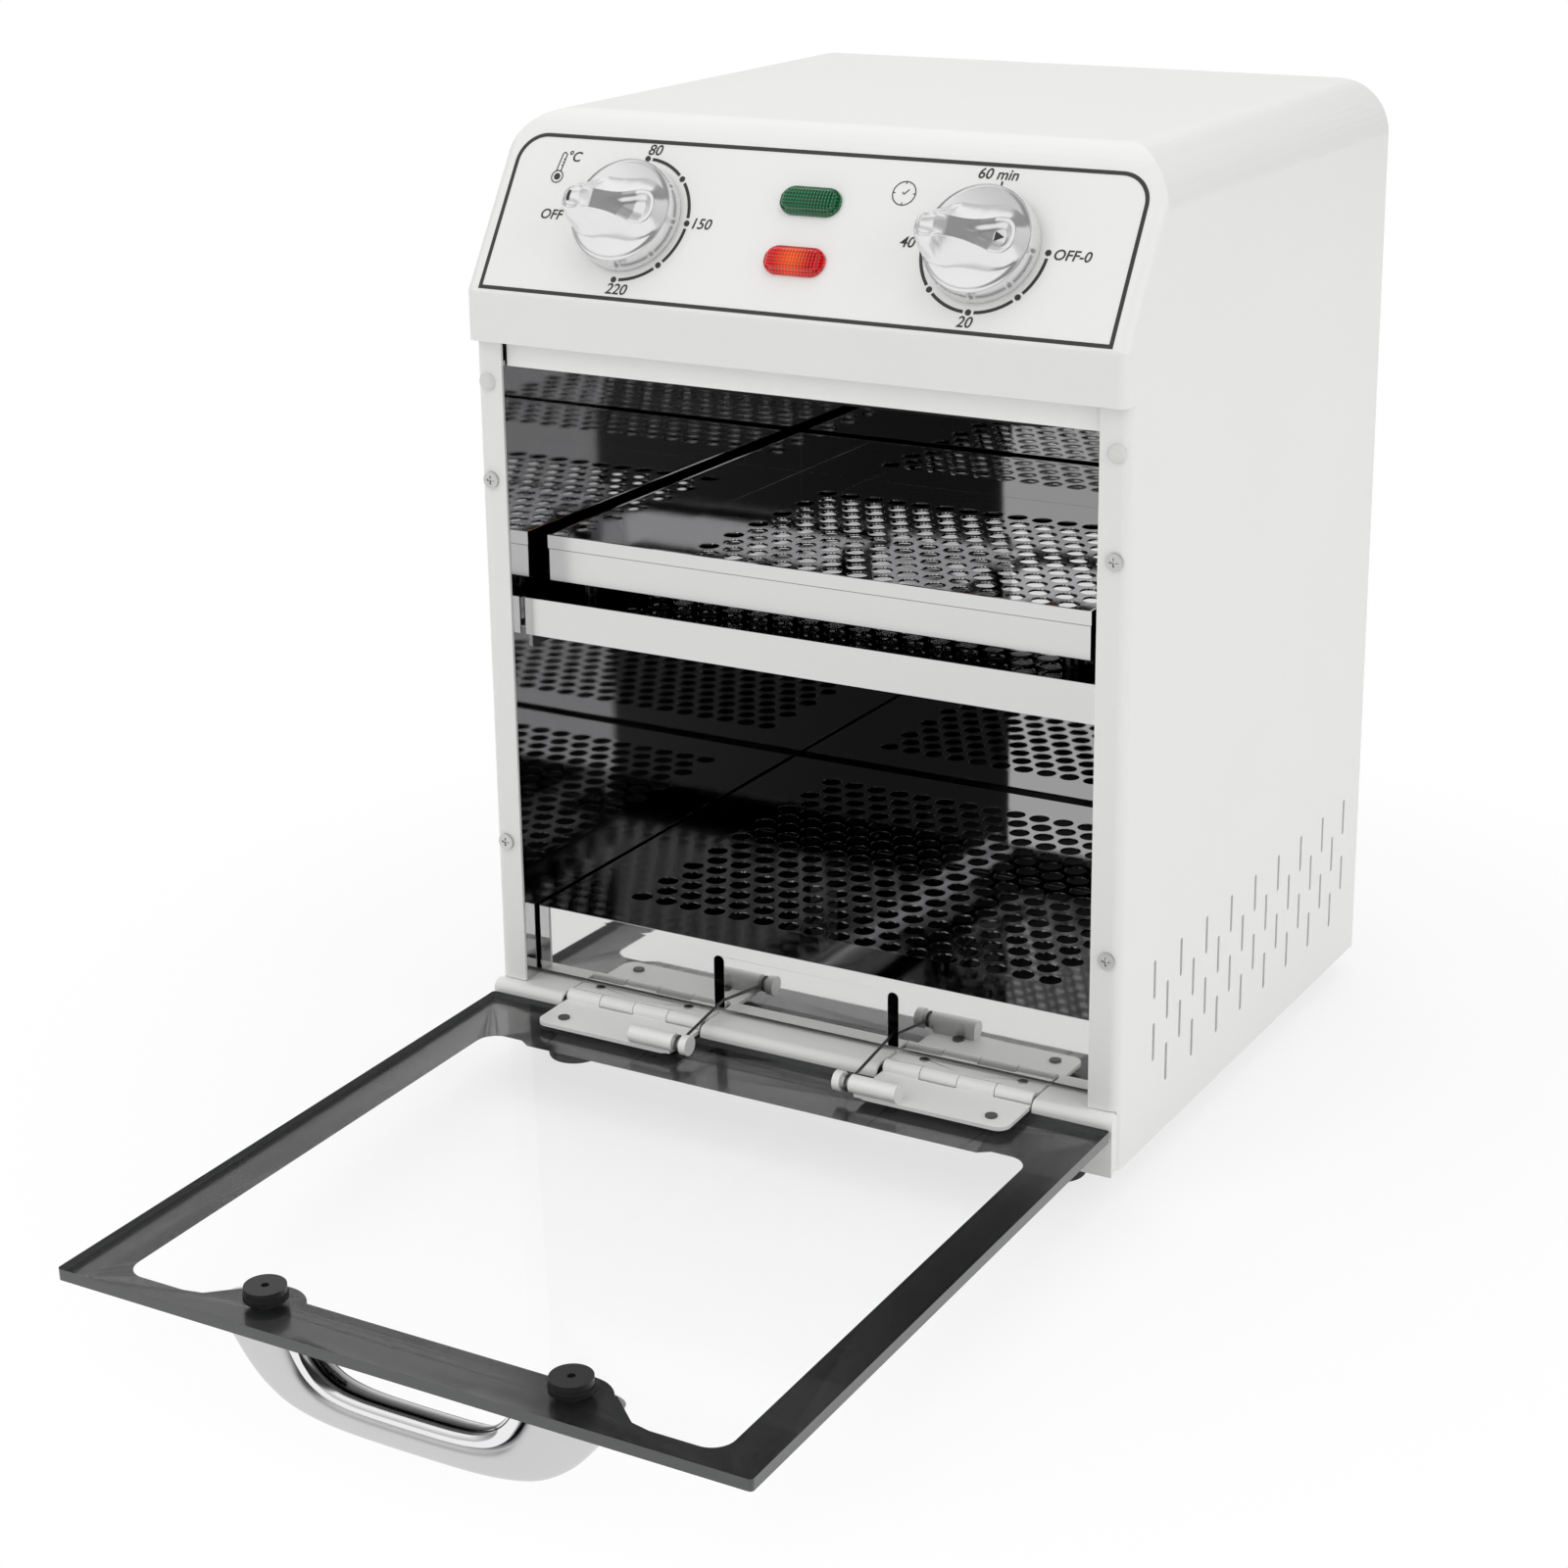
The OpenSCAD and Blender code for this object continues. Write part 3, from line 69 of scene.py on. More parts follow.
# Places in metres of the scene, for the masks of the finishes and of the painted shade.
LIP_Y, UPPER_Z = 0.0265, 0.1
PEG_LOW, PEG_TOP = 0.19155, 0.1963
HEM_Z, HEM_HALF = 0.2085, 0.00022
CELL_TURNS = FULL_TURN / 0.0013


# Placing.

def case_place(p):
    """Millimetres of the cabinet to metres of the scene: lift by the feet, then scale."""
    return (np.asarray(p, float).reshape(-1, 3) + [0, 0, FOOT]) * MM


def panel_place(p, x, u):
    """Panel millimetres (right, up the slope, out) about a point on the slope, to the scene."""
    p = np.asarray(p, float).reshape(-1, 3)
    a, b, n = p[:, 0] + x, p[:, 1] + u, p[:, 2]
    s, c = math.sin(SLOPE), math.cos(SLOPE)
    return case_place(np.stack([a, b * s - n * c, KNEE_Z + b * c + n * s], 1))


def door_place(p):
    """Open door millimetres about the hinge axis to the scene: a turn by the sag about X."""
    p = np.asarray(p, float).reshape(-1, 3)
    s, c = math.sin(SAG), math.cos(SAG)
    turned = np.stack([p[:, 0], p[:, 1] * c - p[:, 2] * s, p[:, 1] * s + p[:, 2] * c], 1)
    return case_place(turned + HINGE)


# Curves and meshes.

def smooth_step(v, lo, hi):
    """0 below lo, 1 above hi, and 3q^2 - 2q^3 between."""
    q = np.clip((v - lo) / (hi - lo), 0, 1)
    return q * q * (3 - 2 * q)


def smooth_curve(knots, n):
    """Catmull-Rom curve through evenly spaced knots, read at n even places."""
    y = np.array(knots, float)
    s, t = np.linspace(0, 1, len(y)), np.linspace(0, 1, n)
    k = np.clip(np.searchsorted(s, t, side="right") - 1, 0, len(y) - 2)
    f = (t - s[k]) / (s[k + 1] - s[k])
    y = np.concatenate([[2 * y[0] - y[1]], y, [2 * y[-1] - y[-2]]])
    a, b, c, d = (y[k + j] for j in range(4))
    return 0.5 * (2 * b + (c - a) * f + (2 * a - 5 * b + 4 * c - d) * f ** 2
        + (3 * b - a - 3 * c + d) * f ** 3)


def grid_faces(rows, cols, around=False):
    """Quads between neighbouring rows and columns of a grid; around joins the last column to the first."""
    i = np.arange(rows - 1)[:, None]
    j = np.arange(cols if around else cols - 1)[None, :]
    here, beside = i * cols + j, i * cols + (j + 1) % cols
    return np.stack([here, beside, beside + cols, here + cols], -1).reshape(-1, 4)


def tube_faces(rings, sides):
    """Faces of a tube whose rings are the rows of a grid, with a cap at each end."""
    last = (rings - 1) * sides
    caps = [list(range(sides - 1, -1, -1)), list(range(last, last + sides))]
    return grid_faces(rings, sides, around=True).tolist() + caps


def add_object(name, data):
    """A new object of the scene around its data."""
    thing = bpy.data.objects.new(name, data)
    bpy.context.scene.collection.objects.link(thing)
    return thing


def finish_piece(name, points, faces, body, slot, smooth=0, stands_for=None):
    """Puts points and faces into a mesh object with its body and finish; bends sharper than smooth
    degrees stay sharp, and at 0 the piece is flat-shaded."""
    mesh = bpy.data.meshes.new(name)
    mesh.from_pydata(points.tolist(), [], faces)
    mesh.validate()
    mesh.update()
    if smooth:
        mesh.shade_smooth()
        mesh.set_sharp_from_angle(angle=math.radians(smooth))
    piece = add_object(name, mesh)
    mesh.materials.append(FINISH[slot])
    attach(piece, body)
    if stands_for:
        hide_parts(stands_for)
    return piece


def dressed_copy(node, angle, bevel=0.0, even=False):
    """A merged copy of a cabinet node that stands for it: smooth bends, and edges rolled by bevel
    metres; a bevel or even weighs the normals by area, so that flat sheets stay flat mirrors."""
    source = nodes[node]
    mesh = source.data.copy()
    piece = add_object(node + "_dressed", mesh)
    bm = bmesh.new()
    bm.from_mesh(mesh)
    bmesh.ops.remove_doubles(bm, verts=bm.verts, dist=2e-6)
    bmesh.ops.dissolve_degenerate(bm, edges=bm.edges, dist=1e-6)
    bm.to_mesh(mesh)
    bm.free()
    mesh.shade_smooth()
    mesh.set_sharp_from_angle(angle=math.radians(angle))
    mesh.materials.clear()
    mesh.materials.append(FINISH[slot_of[node]])
    if bevel:
        mod = piece.modifiers.new("rolled_edge", "BEVEL")
        mod.width = bevel
        mod.segments = 2
        mod.limit_method = "ANGLE"
        mod.angle_limit = math.radians(angle)
        mod.use_clamp_overlap = True
    if even or bevel:
        mod = piece.modifiers.new("even_shading", "WEIGHTED_NORMAL")
        mod.mode = "FACE_AREA"
        mod.weight = 100
        mod.keep_sharp = True
    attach(piece, source["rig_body"])
    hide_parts(node)
    return piece


# Shader nodes.

def feed(tree, socket, value):
    """Links a value from another node to a socket, or sets a constant there."""
    if isinstance(value, bpy.types.NodeSocket):
        tree.links.new(value, socket)
    else:
        socket.default_value = value


def math_node(tree, op, a, b=None, clamp=False):
    """Output of a Math node on one or two values."""
    n = tree.nodes.new("ShaderNodeMath")
    n.operation = op
    n.use_clamp = clamp
    feed(tree, n.inputs[0], a)
    if b is not None:
        feed(tree, n.inputs[1], b)
    return n.outputs[0]


def object_coords(tree):
    """The piece's own coordinates."""
    return tree.nodes.new("ShaderNodeTexCoord").outputs["Object"]


def split_axes(tree, vector):
    """X, Y and Z of a vector, by their names."""
    n = tree.nodes.new("ShaderNodeSeparateXYZ")
    tree.links.new(vector, n.inputs[0])
    return n.outputs


def distance_to(tree, point):
    """Distance of the shaded point to a point in the piece's coordinates."""
    n = tree.nodes.new("ShaderNodeVectorMath")
    n.operation = "DISTANCE"
    tree.links.new(object_coords(tree), n.inputs[0])
    n.inputs[1].default_value = point
    return n.outputs["Value"]


def scaled(tree, colour, factor):
    """A colour times a factor."""
    n = tree.nodes.new("ShaderNodeVectorMath")
    n.operation = "SCALE"
    tree.links.new(colour, n.inputs[0])
    tree.links.new(factor, n.inputs["Scale"])
    return n.outputs[0]


def mixed(tree, factor, first, second, blend="MIX"):
    """Two colours mixed by a factor; sockets 6 and 7 and output 2 are the node's colours."""
    n = tree.nodes.new("ShaderNodeMix")
    n.data_type = "RGBA"
    n.blend_type = blend
    feed(tree, n.inputs["Factor"], factor)
    feed(tree, n.inputs[6], first)
    feed(tree, n.inputs[7], second)
    return n.outputs[2]


def mixed_shaders(tree, factor, first, second):
    """Two shaders mixed by a factor."""
    n = tree.nodes.new("ShaderNodeMixShader")
    for socket, source in zip(n.inputs, (factor, first, second)):
        tree.links.new(source, socket)
    return n.outputs[0]


def noise(tree, coords, scale, detail, rough=0.5, stretch=None):
    """Factor of a Noise texture, stretched along the axes where asked."""
    if stretch:
        m = tree.nodes.new("ShaderNodeMapping")
        m.inputs["Scale"].default_value = stretch
        tree.links.new(coords, m.inputs["Vector"])
        coords = m.outputs[0]
    n = tree.nodes.new("ShaderNodeTexNoise")
    tree.links.new(coords, n.inputs["Vector"])
    feed(tree, n.inputs["Scale"], scale)
    n.inputs["Detail"].default_value = detail
    n.inputs["Roughness"].default_value = rough
    return n.outputs["Fac"]


def blend_range(tree, value, lo, hi, to_lo, to_hi):
    """A value between lo and hi carried over to the other range, and held at its ends."""
    n = tree.nodes.new("ShaderNodeMapRange")
    tree.links.new(value, n.inputs["Value"])
    for name, v in (("From Min", lo), ("From Max", hi), ("To Min", to_lo), ("To Max", to_hi)):
        n.inputs[name].default_value = v
    return n.outputs["Result"]


def wander(tree, cloud, amount, about, clamp=False):
    """about + amount * (cloud - 0.5)."""
    step = math_node(tree, "MULTIPLY", math_node(tree, "SUBTRACT", cloud, 0.5), amount)
    return math_node(tree, "ADD", step, about, clamp)


# Finishes as node groups.

def new_group(name, inputs):
    """An empty group with these inputs and their values, whose outputs are a colour, a roughness and
    a height."""
    g = bpy.data.node_groups.new(name, "ShaderNodeTree")
    for label, value in inputs.items():
        kind = "NodeSocketColor" if isinstance(value, tuple) else "NodeSocketFloat"
        g.interface.new_socket(name=label, in_out="INPUT", socket_type=kind).default_value = value
    for label, kind in (("Colour", "Color"), ("Roughness", "Float"), ("Height", "Float")):
        g.interface.new_socket(name=label, in_out="OUTPUT", socket_type="NodeSocket" + kind)
    return g, g.nodes.new("NodeGroupInput").outputs, g.nodes.new("NodeGroupOutput").inputs


def make_coat_group():
    """Powder coat: fine orange peel as a height, slow tone drift and a little uneven gloss."""
    g, given, out = new_group("powder_coat", {"Colour": (0.8, 0.8, 0.8, 1), "Peel size": 900.0,
        "Tone drift": 0.02, "Roughness": 0.35})
    at = object_coords(g)
    tone = wander(g, noise(g, at, 14.0, 3.0), given["Tone drift"], 1.0)
    g.links.new(scaled(g, given["Colour"], tone), out["Colour"])
    gloss = wander(g, noise(g, at, 40.0, 4.0), 0.06, given["Roughness"], clamp=True)
    g.links.new(gloss, out["Roughness"])
    g.links.new(noise(g, at, given["Peel size"], 2.0), out["Height"])
    return g


def make_steel_group():
    """Rolled steel: fine lines along one axis, cloudy wiping smears and a faint waviness."""
    g, given, out = new_group("rolled_steel", {"Colour": (0.6, 0.6, 0.6, 1), "Smear": 0.05,
        "Roughness": 0.08, "Tone drift": 0.05})
    at = object_coords(g)
    lines = noise(g, at, 60.0, 3.0, 0.6, (0.4, 30.0, 30.0))
    cloud = noise(g, at, 22.0, 4.0, 0.6)
    rough = math_node(g, "ADD", given["Roughness"], math_node(g, "MULTIPLY", cloud, given["Smear"]))
    scratch = math_node(g, "MULTIPLY", lines, math_node(g, "MULTIPLY", given["Smear"], 0.4))
    g.links.new(math_node(g, "ADD", rough, scratch, clamp=True), out["Roughness"])
    tone = wander(g, cloud, given["Tone drift"], 1.0)
    g.links.new(scaled(g, given["Colour"], tone), out["Colour"])
    wave = math_node(g, "MULTIPLY", noise(g, at, 9.0, 1.0), 6.0)
    g.links.new(math_node(g, "ADD", wave, math_node(g, "MULTIPLY", lines, 0.25)), out["Height"])
    return g


def make_grain_group():
    """Moulded grain: small cells as a height, with a slow change of gloss and tone."""
    g, given, out = new_group("moulded_grain", {"Colour": (0.1, 0.1, 0.1, 1), "Grain size": 1500.0,
        "Roughness": 0.5, "Tone drift": 0.15})
    at = object_coords(g)
    cells = g.nodes.new("ShaderNodeTexVoronoi")
    g.links.new(at, cells.inputs["Vector"])
    g.links.new(given["Grain size"], cells.inputs["Scale"])
    cloud = noise(g, at, 70.0, 3.0)
    tone = wander(g, cloud, given["Tone drift"], 1.0)
    g.links.new(scaled(g, given["Colour"], tone), out["Colour"])
    rough = math_node(g, "MULTIPLY", cloud, 0.08)
    g.links.new(math_node(g, "ADD", given["Roughness"], rough, clamp=True), out["Roughness"])
    g.links.new(cells.outputs["Distance"], out["Height"])
    return g


COAT, STEEL, GRAIN = make_coat_group(), make_steel_group(), make_grain_group()


def finish_with(name, group, inputs, bump, depth=0.0002, metallic=0.0, gloss=0.0, gloss_rough=0.1):
    """A Principled material whose colour, roughness and relief come from one of the groups."""
    m = bpy.data.materials.new(name)
    m.use_nodes = True
    t = m.node_tree
    shader = t.nodes["Principled BSDF"].inputs
    n = t.nodes.new("ShaderNodeGroup")
    n.node_tree = group
    for label, value in inputs.items():
        n.inputs[label].default_value = value
    t.links.new(n.outputs["Colour"], shader["Base Color"])
    t.links.new(n.outputs["Roughness"], shader["Roughness"])
    relief = t.nodes.new("ShaderNodeBump")
    relief.inputs["Strength"].default_value = bump
    relief.inputs["Distance"].default_value = depth
    t.links.new(n.outputs["Height"], relief.inputs["Height"])
    t.links.new(relief.outputs[0], shader["Normal"])
    shader["Metallic"].default_value = metallic
    shader["Coat Weight"].default_value = gloss
    shader["Coat Roughness"].default_value = gloss_rough
    return m


def coat(name, colour, rough, bump, drift=0.02, peel=900.0, gloss=0.0, gloss_rough=0.1):
    """Powder coat or enamel, under a clear gloss where asked."""
    inputs = {"Colour": (*colour, 1), "Roughness": rough, "Tone drift": drift, "Peel size": peel}
    return finish_with(name, COAT, inputs, bump, gloss=gloss, gloss_rough=gloss_rough)


def steel(name, colour, rough, smear, bump, drift=0.05, metallic=1.0):
    """Rolled, drawn or plated metal."""
    inputs = {"Colour": (*colour, 1), "Roughness": rough, "Smear": smear, "Tone drift": drift}
    return finish_with(name, STEEL, inputs, bump, metallic=metallic)


def grain(name, colour, rough, bump, drift=0.15, cells=1500.0, depth=0.0002):
    """Moulded plastic, rubber, board or ink."""
    inputs = {"Colour": (*colour, 1), "Roughness": rough, "Tone drift": drift, "Grain size": cells}
    return finish_with(name, GRAIN, inputs, bump, depth=depth)


def tree_of(m):
    """A finish's node tree, its shader's inputs and its group's outputs."""
    t = m.node_tree
    group = next(n for n in t.nodes if n.type == "GROUP")
    return t, t.nodes["Principled BSDF"].inputs, group.outputs


def make_trim_chrome():
    """Bright plating, painted near-black on the inside of the hole by the piece's attribute: painted shade
    and dark reflection.
    """
    m = steel("trim_chrome", (0.84, 0.84, 0.85), 0.07, 0.04, 0.03)
    t, shader, finish = tree_of(m)
    inside = t.nodes.new("ShaderNodeAttribute")
    inside.attribute_name = "inside"
    # Painted shade: the inside of the hole is near-black, for its shade and dark reflections.
    dark = mixed(t, inside.outputs["Fac"], finish["Colour"], (0.035, 0.035, 0.037, 1))
    t.links.new(dark, shader["Base Color"])
    return m


def make_glass():
    """Clear glass of low index, so that it shows the white stage; light passes it on the way to the
    floor."""
    m = bpy.data.materials.new("door_glass_clear")
    m.use_nodes = True
    t = m.node_tree
    b = t.nodes["Principled BSDF"]
    b.inputs["Base Color"].default_value = (1, 1, 1, 1)
    b.inputs["Transmission Weight"].default_value = 1.0
    b.inputs["Roughness"].default_value = 0.0
    b.inputs["IOR"].default_value = 1.1
    clear = t.nodes.new("ShaderNodeBsdfTransparent")
    clear.inputs["Color"].default_value = (0.97, 0.98, 0.975, 1)
    shadow = t.nodes.new("ShaderNodeLightPath").outputs["Is Shadow Ray"]
    both = mixed_shaders(t, shadow, b.outputs[0], clear.outputs[0])
    t.links.new(both, t.nodes["Material Output"].inputs["Surface"])
    return m


def make_sheet_steel():
    """Bright sheet: the upright lips are satin silver, the floor's lip a mirror, the fields inside
    mirrors painted darker than the lips as painted shade; the tray's pegs and the undersides are
    near-black, painted shade, and a darker line of painted shade marks the hem's edge."""
    m = steel("bright_sheet", (0.60, 0.60, 0.605), 0.015, 0.03, 0.03)
    t, shader, finish = tree_of(m)

    def calc(op, a, b=None):
        """A Math node of this tree."""
        return math_node(t, op, a, b)

    facing = split_axes(t, t.nodes.new("ShaderNodeNewGeometry").outputs["True Normal"])
    place = split_axes(t, object_coords(t))
    front = calc("MULTIPLY", calc("LESS_THAN", facing["Y"], -0.6), calc("LESS_THAN", place["Y"], LIP_Y))
    satin = calc("MULTIPLY", front, calc("GREATER_THAN", place["Z"], UPPER_Z))
    # Painted shade: the front lips get a lighter colour than the fields inside, which stay darker.
    lip = mixed(t, front, finish["Colour"], (0.70, 0.70, 0.695, 1))
    # Painted shade: the tray's pegs, the faces that look down and a thin line at the hem's edge.
    above, below = calc("GREATER_THAN", place["Z"], PEG_LOW), calc("LESS_THAN", place["Z"], PEG_TOP)
    peg = calc("MULTIPLY", calc("MULTIPLY", below, above), calc("SUBTRACT", 1.0, front))
    under = calc("LESS_THAN", facing["Z"], -0.6)
    hem = calc("LESS_THAN", calc("ABSOLUTE", calc("SUBTRACT", place["Z"], HEM_Z)), HEM_HALF)
    hem = calc("MULTIPLY", calc("MULTIPLY", hem, front), 0.6)
    # All the painted shade in one mask, mixed to near-black below.
    dark = calc("MAXIMUM", calc("MAXIMUM", peg, under), hem)
    t.links.new(mixed(t, dark, lip, (0.04, 0.04, 0.04, 1)), shader["Base Color"])
    rough = calc("ADD", finish["Roughness"], calc("MULTIPLY", satin, 0.2))
    t.links.new(rough, shader["Roughness"])
    return m


def make_lens(name, colour, glow, hot=None):
    """Plastic lens of small square cells, a product of two sines: a deep colour under a clear gloss;
    a lit one has a hot centre."""
    inputs = {"Colour": colour, "Roughness": 0.15, "Grain size": 900.0, "Tone drift": 0.25}
    m = finish_with(name, GRAIN, inputs, 0.05, gloss=0.5, gloss_rough=0.04)
    t, shader, finish = tree_of(m)
    place = split_axes(t, object_coords(t))
    waves = []
    for axis, turns in (("X", CELL_TURNS), ("Z", CELL_TURNS / math.cos(SLOPE))):
        wave = math_node(t, "SINE", math_node(t, "MULTIPLY", place[axis], turns))
        waves.append(math_node(t, "ADD", wave, 1.0))
    cell = blend_range(t, math_node(t, "MULTIPLY", *waves), 0.8, 3.0, 0.55, 2.6)
    t.links.new(scaled(t, finish["Colour"], cell), shader["Base Color"])
    shader["Emission Strength"].default_value = glow
    shader["Emission Color"].default_value = colour
    if hot:
        centre = panel_place([(0, 0, 3.0)], LAMP_X, POWER_U)[0]
        near = blend_range(t, distance_to(t, centre), 0.0012, 0.0075, 1.0, 0.0)
        t.links.new(mixed(t, near, colour, hot), shader["Emission Color"])
    return m


# A finish for each material slot of the cabinet; then one for the glass's ground edges, and one for
# the liner's floor, which lies in the shade.
FINISH = {
    "white_enamel": coat("coat_white", (0.83, 0.83, 0.815), 0.38, 0.05),
    # Painted light: the header strip is a lighter white than the case, to offset the shade under the hood.
    "header_white": coat("coat_header", (0.93, 0.93, 0.915), 0.4, 0.05),
    "panel_grey": coat("coat_back", (0.72, 0.72, 0.71), 0.45, 0.08),
    # Painted light: the hinges are a lighter white than the case, to offset the shade at the sill.
    "hinge_white": coat("coat_hinge", (0.87, 0.87, 0.855), 0.3, 0.12, drift=0.06, peel=700.0, gloss=0.3),
    "dark_enamel": coat("enamel_dark", (0.016, 0.016, 0.0165), 0.22, 0.01, drift=0.12, gloss=1.0,
        gloss_rough=0.19),
    "mirror_steel": steel("chamber_mirror", (0.68, 0.68, 0.685), 0.012, 0.02, 0.03),
    "bright_steel": make_sheet_steel(),
    "plain_steel": steel("plain_plate", (0.52, 0.52, 0.53), 0.28, 0.2, 0.2),
    "screw_steel": steel("screw_plate", (0.62, 0.62, 0.61), 0.2, 0.2, 0.2, drift=0.2),
    "screw_dark": steel("screw_black", (0.16, 0.16, 0.165), 0.25, 0.2, 0.2),
    "wire_steel": steel("spring_wire", (0.2, 0.2, 0.205), 0.25, 0.2, 0.2),
    "heater_dark": steel("heater_tube", (0.14, 0.125, 0.12), 0.4, 0.25, 0.3, drift=0.5),
    "copper": steel("copper_bulb", (0.75, 0.4, 0.24), 0.25, 0.2, 0.2, drift=0.3),
    "shaft_brass": steel("brass_shaft", (0.68, 0.55, 0.3), 0.25, 0.15, 0.2),
    "knob_chrome": steel("knob_chrome", (0.83, 0.83, 0.835), 0.15, 0.04, 0.03, drift=0.03, metallic=0.7),
    "bright_chrome": make_trim_chrome(),
    "silver_satin": steel("satin_silver", (0.62, 0.62, 0.625), 0.24, 0.1, 0.12, drift=0.06),
    "mineral_wool": grain("wool_board", (0.75, 0.72, 0.6), 0.9, 0.8, drift=0.4, cells=500.0, depth=0.001),
    "black_plastic": grain("black_mould", (0.018, 0.018, 0.019), 0.4, 0.15),
    "grey_plastic": grain("grey_mould", (0.5, 0.5, 0.46), 0.5, 0.15),
    "rubber_black": grain("foot_rubber", (0.014, 0.014, 0.014), 0.6, 0.3, drift=0.3),
    "silicone": grain("bumper_gel", (0.72, 0.72, 0.70), 0.25, 0.05, drift=0.08),
    "wire_red": grain("wire_cover", (0.55, 0.07, 0.05), 0.45, 0.15),
    "print_ink": grain("print_ink", (0.04, 0.04, 0.04), 0.5, 0.1, drift=0.4, cells=4000.0, depth=0.00005),
    "lens_green": make_lens("lens_green", (0.001, 0.085, 0.028, 1), 0.12),
    "lens_red": make_lens("lens_red", (0.38, 0.001, 0.001, 1), 0.42, hot=(1.0, 0.2, 0.01, 1)),
    "clear_glass": make_glass(),
}
ground_edge = coat("ground_edge", (0.045, 0.048, 0.047), 0.24, 0.05, drift=0.2, peel=3000.0, gloss=0.7,
    gloss_rough=0.12)
# Painted shade: a near-black copy of the steel for the liner's floor, which lies in the chamber's shade.
sheet_shaded = steel("sheet_shaded", (0.07, 0.07, 0.072), 0.4, 0.2, 0.1)

for part in subparts:
    piece = nodes[part["node"]]
    if not piece.material_slots:
        piece.data.materials.append(FINISH[part["material_slot"]])
    for s in piece.material_slots:
        s.material = FINISH[part["material_slot"]]
# Painted shade: the liner's floor gets the near-black steel in place of its cabinet finish.
nodes["liner_floor"].data.materials[0] = sheet_shaded

# Dressed copies of the sheets, hinges and small parts that show.

for n in ("outer_cover", "base_pan", "header_strip", "back_panel"):
    dressed_copy(n, angle=14, even=True)
for n in ("floor_plate", "mid_shelf", "upper_tray"):
    dressed_copy(n, angle=40, bevel=0.00016)
for n in ("left_sill_leaf", "right_sill_leaf", "left_door_leaf", "right_door_leaf"):
    dressed_copy(n, angle=35, bevel=0.00025)
for n in ("handle_washers", "handle_bolts", "post_screws", "rear_screws", "foot_screws",
        "sill_screws", "leaf_screws", "stay_pins", "cord_inlet"):
    dressed_copy(n, angle=35, bevel=0.00015)
for n in ("left_stay_wire", "right_stay_wire", "lower_heater", "upper_heater", "hinge_pins",
        "heater_brackets", "shelf_rails"):
    dressed_copy(n, angle=35)

# The glass's edges that turn by more than this angle, in radians, are ground off by this many metres.
GLASS_SHARP, GLASS_GROUND = 1.2, 0.0005


def ground_glass():
    """The door's glass with its sharp edges ground off by 0.5 mm; every face that isn't level is dark."""
    mesh = dressed_copy("door_glass", angle=30).data
    bm = bmesh.new()
    bm.from_mesh(mesh)
    sharp = [e for e in bm.edges if len(e.link_faces) == 2 and e.calc_face_angle(0) > GLASS_SHARP]
    bmesh.ops.bevel(bm, geom=sharp, offset=GLASS_GROUND, segments=2, affect="EDGES", profile=0.6,
        clamp_overlap=True)
    mesh.materials.append(ground_edge)
    for f in bm.faces:
        level = abs(f.normal.z) > 0.99
        f.material_index = 0 if level else 1
        f.smooth = not level
    bm.to_mesh(mesh)
    bm.free()


ground_glass()

# Handle: a satin band with a bright inner trim, hung from the door's far edge.

GLASS_LO, BOLT_Y, GRIP_W = -6.4, -243.0, 16.0


def half_arch(x, h):
    """A whole arch from the knots of its right half: a smooth curve through them, then mirrored."""
    right = np.stack([smooth_curve(x, 60), smooth_curve(h, 60)], 1)
    return np.concatenate([right, right[-2::-1] * [-1, 1]])


band_outer = half_arch([77.6, 75.4, 71.2, 66.2, 59.8, 51.0, 40.5, 28.0, 14.0, 0.0],
    [0, 4.3, 10.3, 17.0, 23.4, 28.9, 31.9, 33.4, 33.85, 33.95])
trim_outer = half_arch([48.3, 46.4, 43.4, 39.4, 33.2, 25.0, 16.0, 8.0, 0.0],
    [0, 5.2, 11.2, 16.6, 20.6, 22.6, 23.3, 23.45, 23.5])
trim_inner = half_arch([42.4, 40.6, 37.4, 32.6, 26.6, 19.6, 12.6, 6.0, 0.0],
    [0, 5.0, 10.2, 14.6, 17.1, 18.1, 18.4, 18.5, 18.5])


def carried(name, outer, inner, section, slot, node):
    """The piece whose section is carried along an arch: the section's first number runs from the outer
    to the inner arch, its second is a place along Y; the ends lie in the plane of the glass."""
    w, y = section[:, 0], section[:, 1]
    x = outer[:, None, 0] * (1 - w) + inner[:, None, 0] * w
    h = outer[:, None, 1] * (1 - w) + inner[:, None, 1] * w
    points = door_place(np.stack([x, np.broadcast_to(y, x.shape), GLASS_LO - h], -1))
    faces = tube_faces(len(outer), len(section))
    return finish_piece(name, points, faces, "door", slot, smooth=50, stands_for=node)


def make_band():
    """Grip: a superellipse, |a|^3.2 + |b|^3.2 = 1, carried between the two arches."""
    a = np.linspace(0, FULL_TURN, 40, endpoint=False)
    c, d = (np.sign(q) * np.abs(q) ** (2 / 3.2) for q in (np.cos(a), np.sin(a)))
    section = np.stack([0.5 + 0.5 * c, BOLT_Y + GRIP_W / 2 * d], 1)
    carried("handle_band", band_outer, trim_outer, section, "silver_satin", "handle_grip")


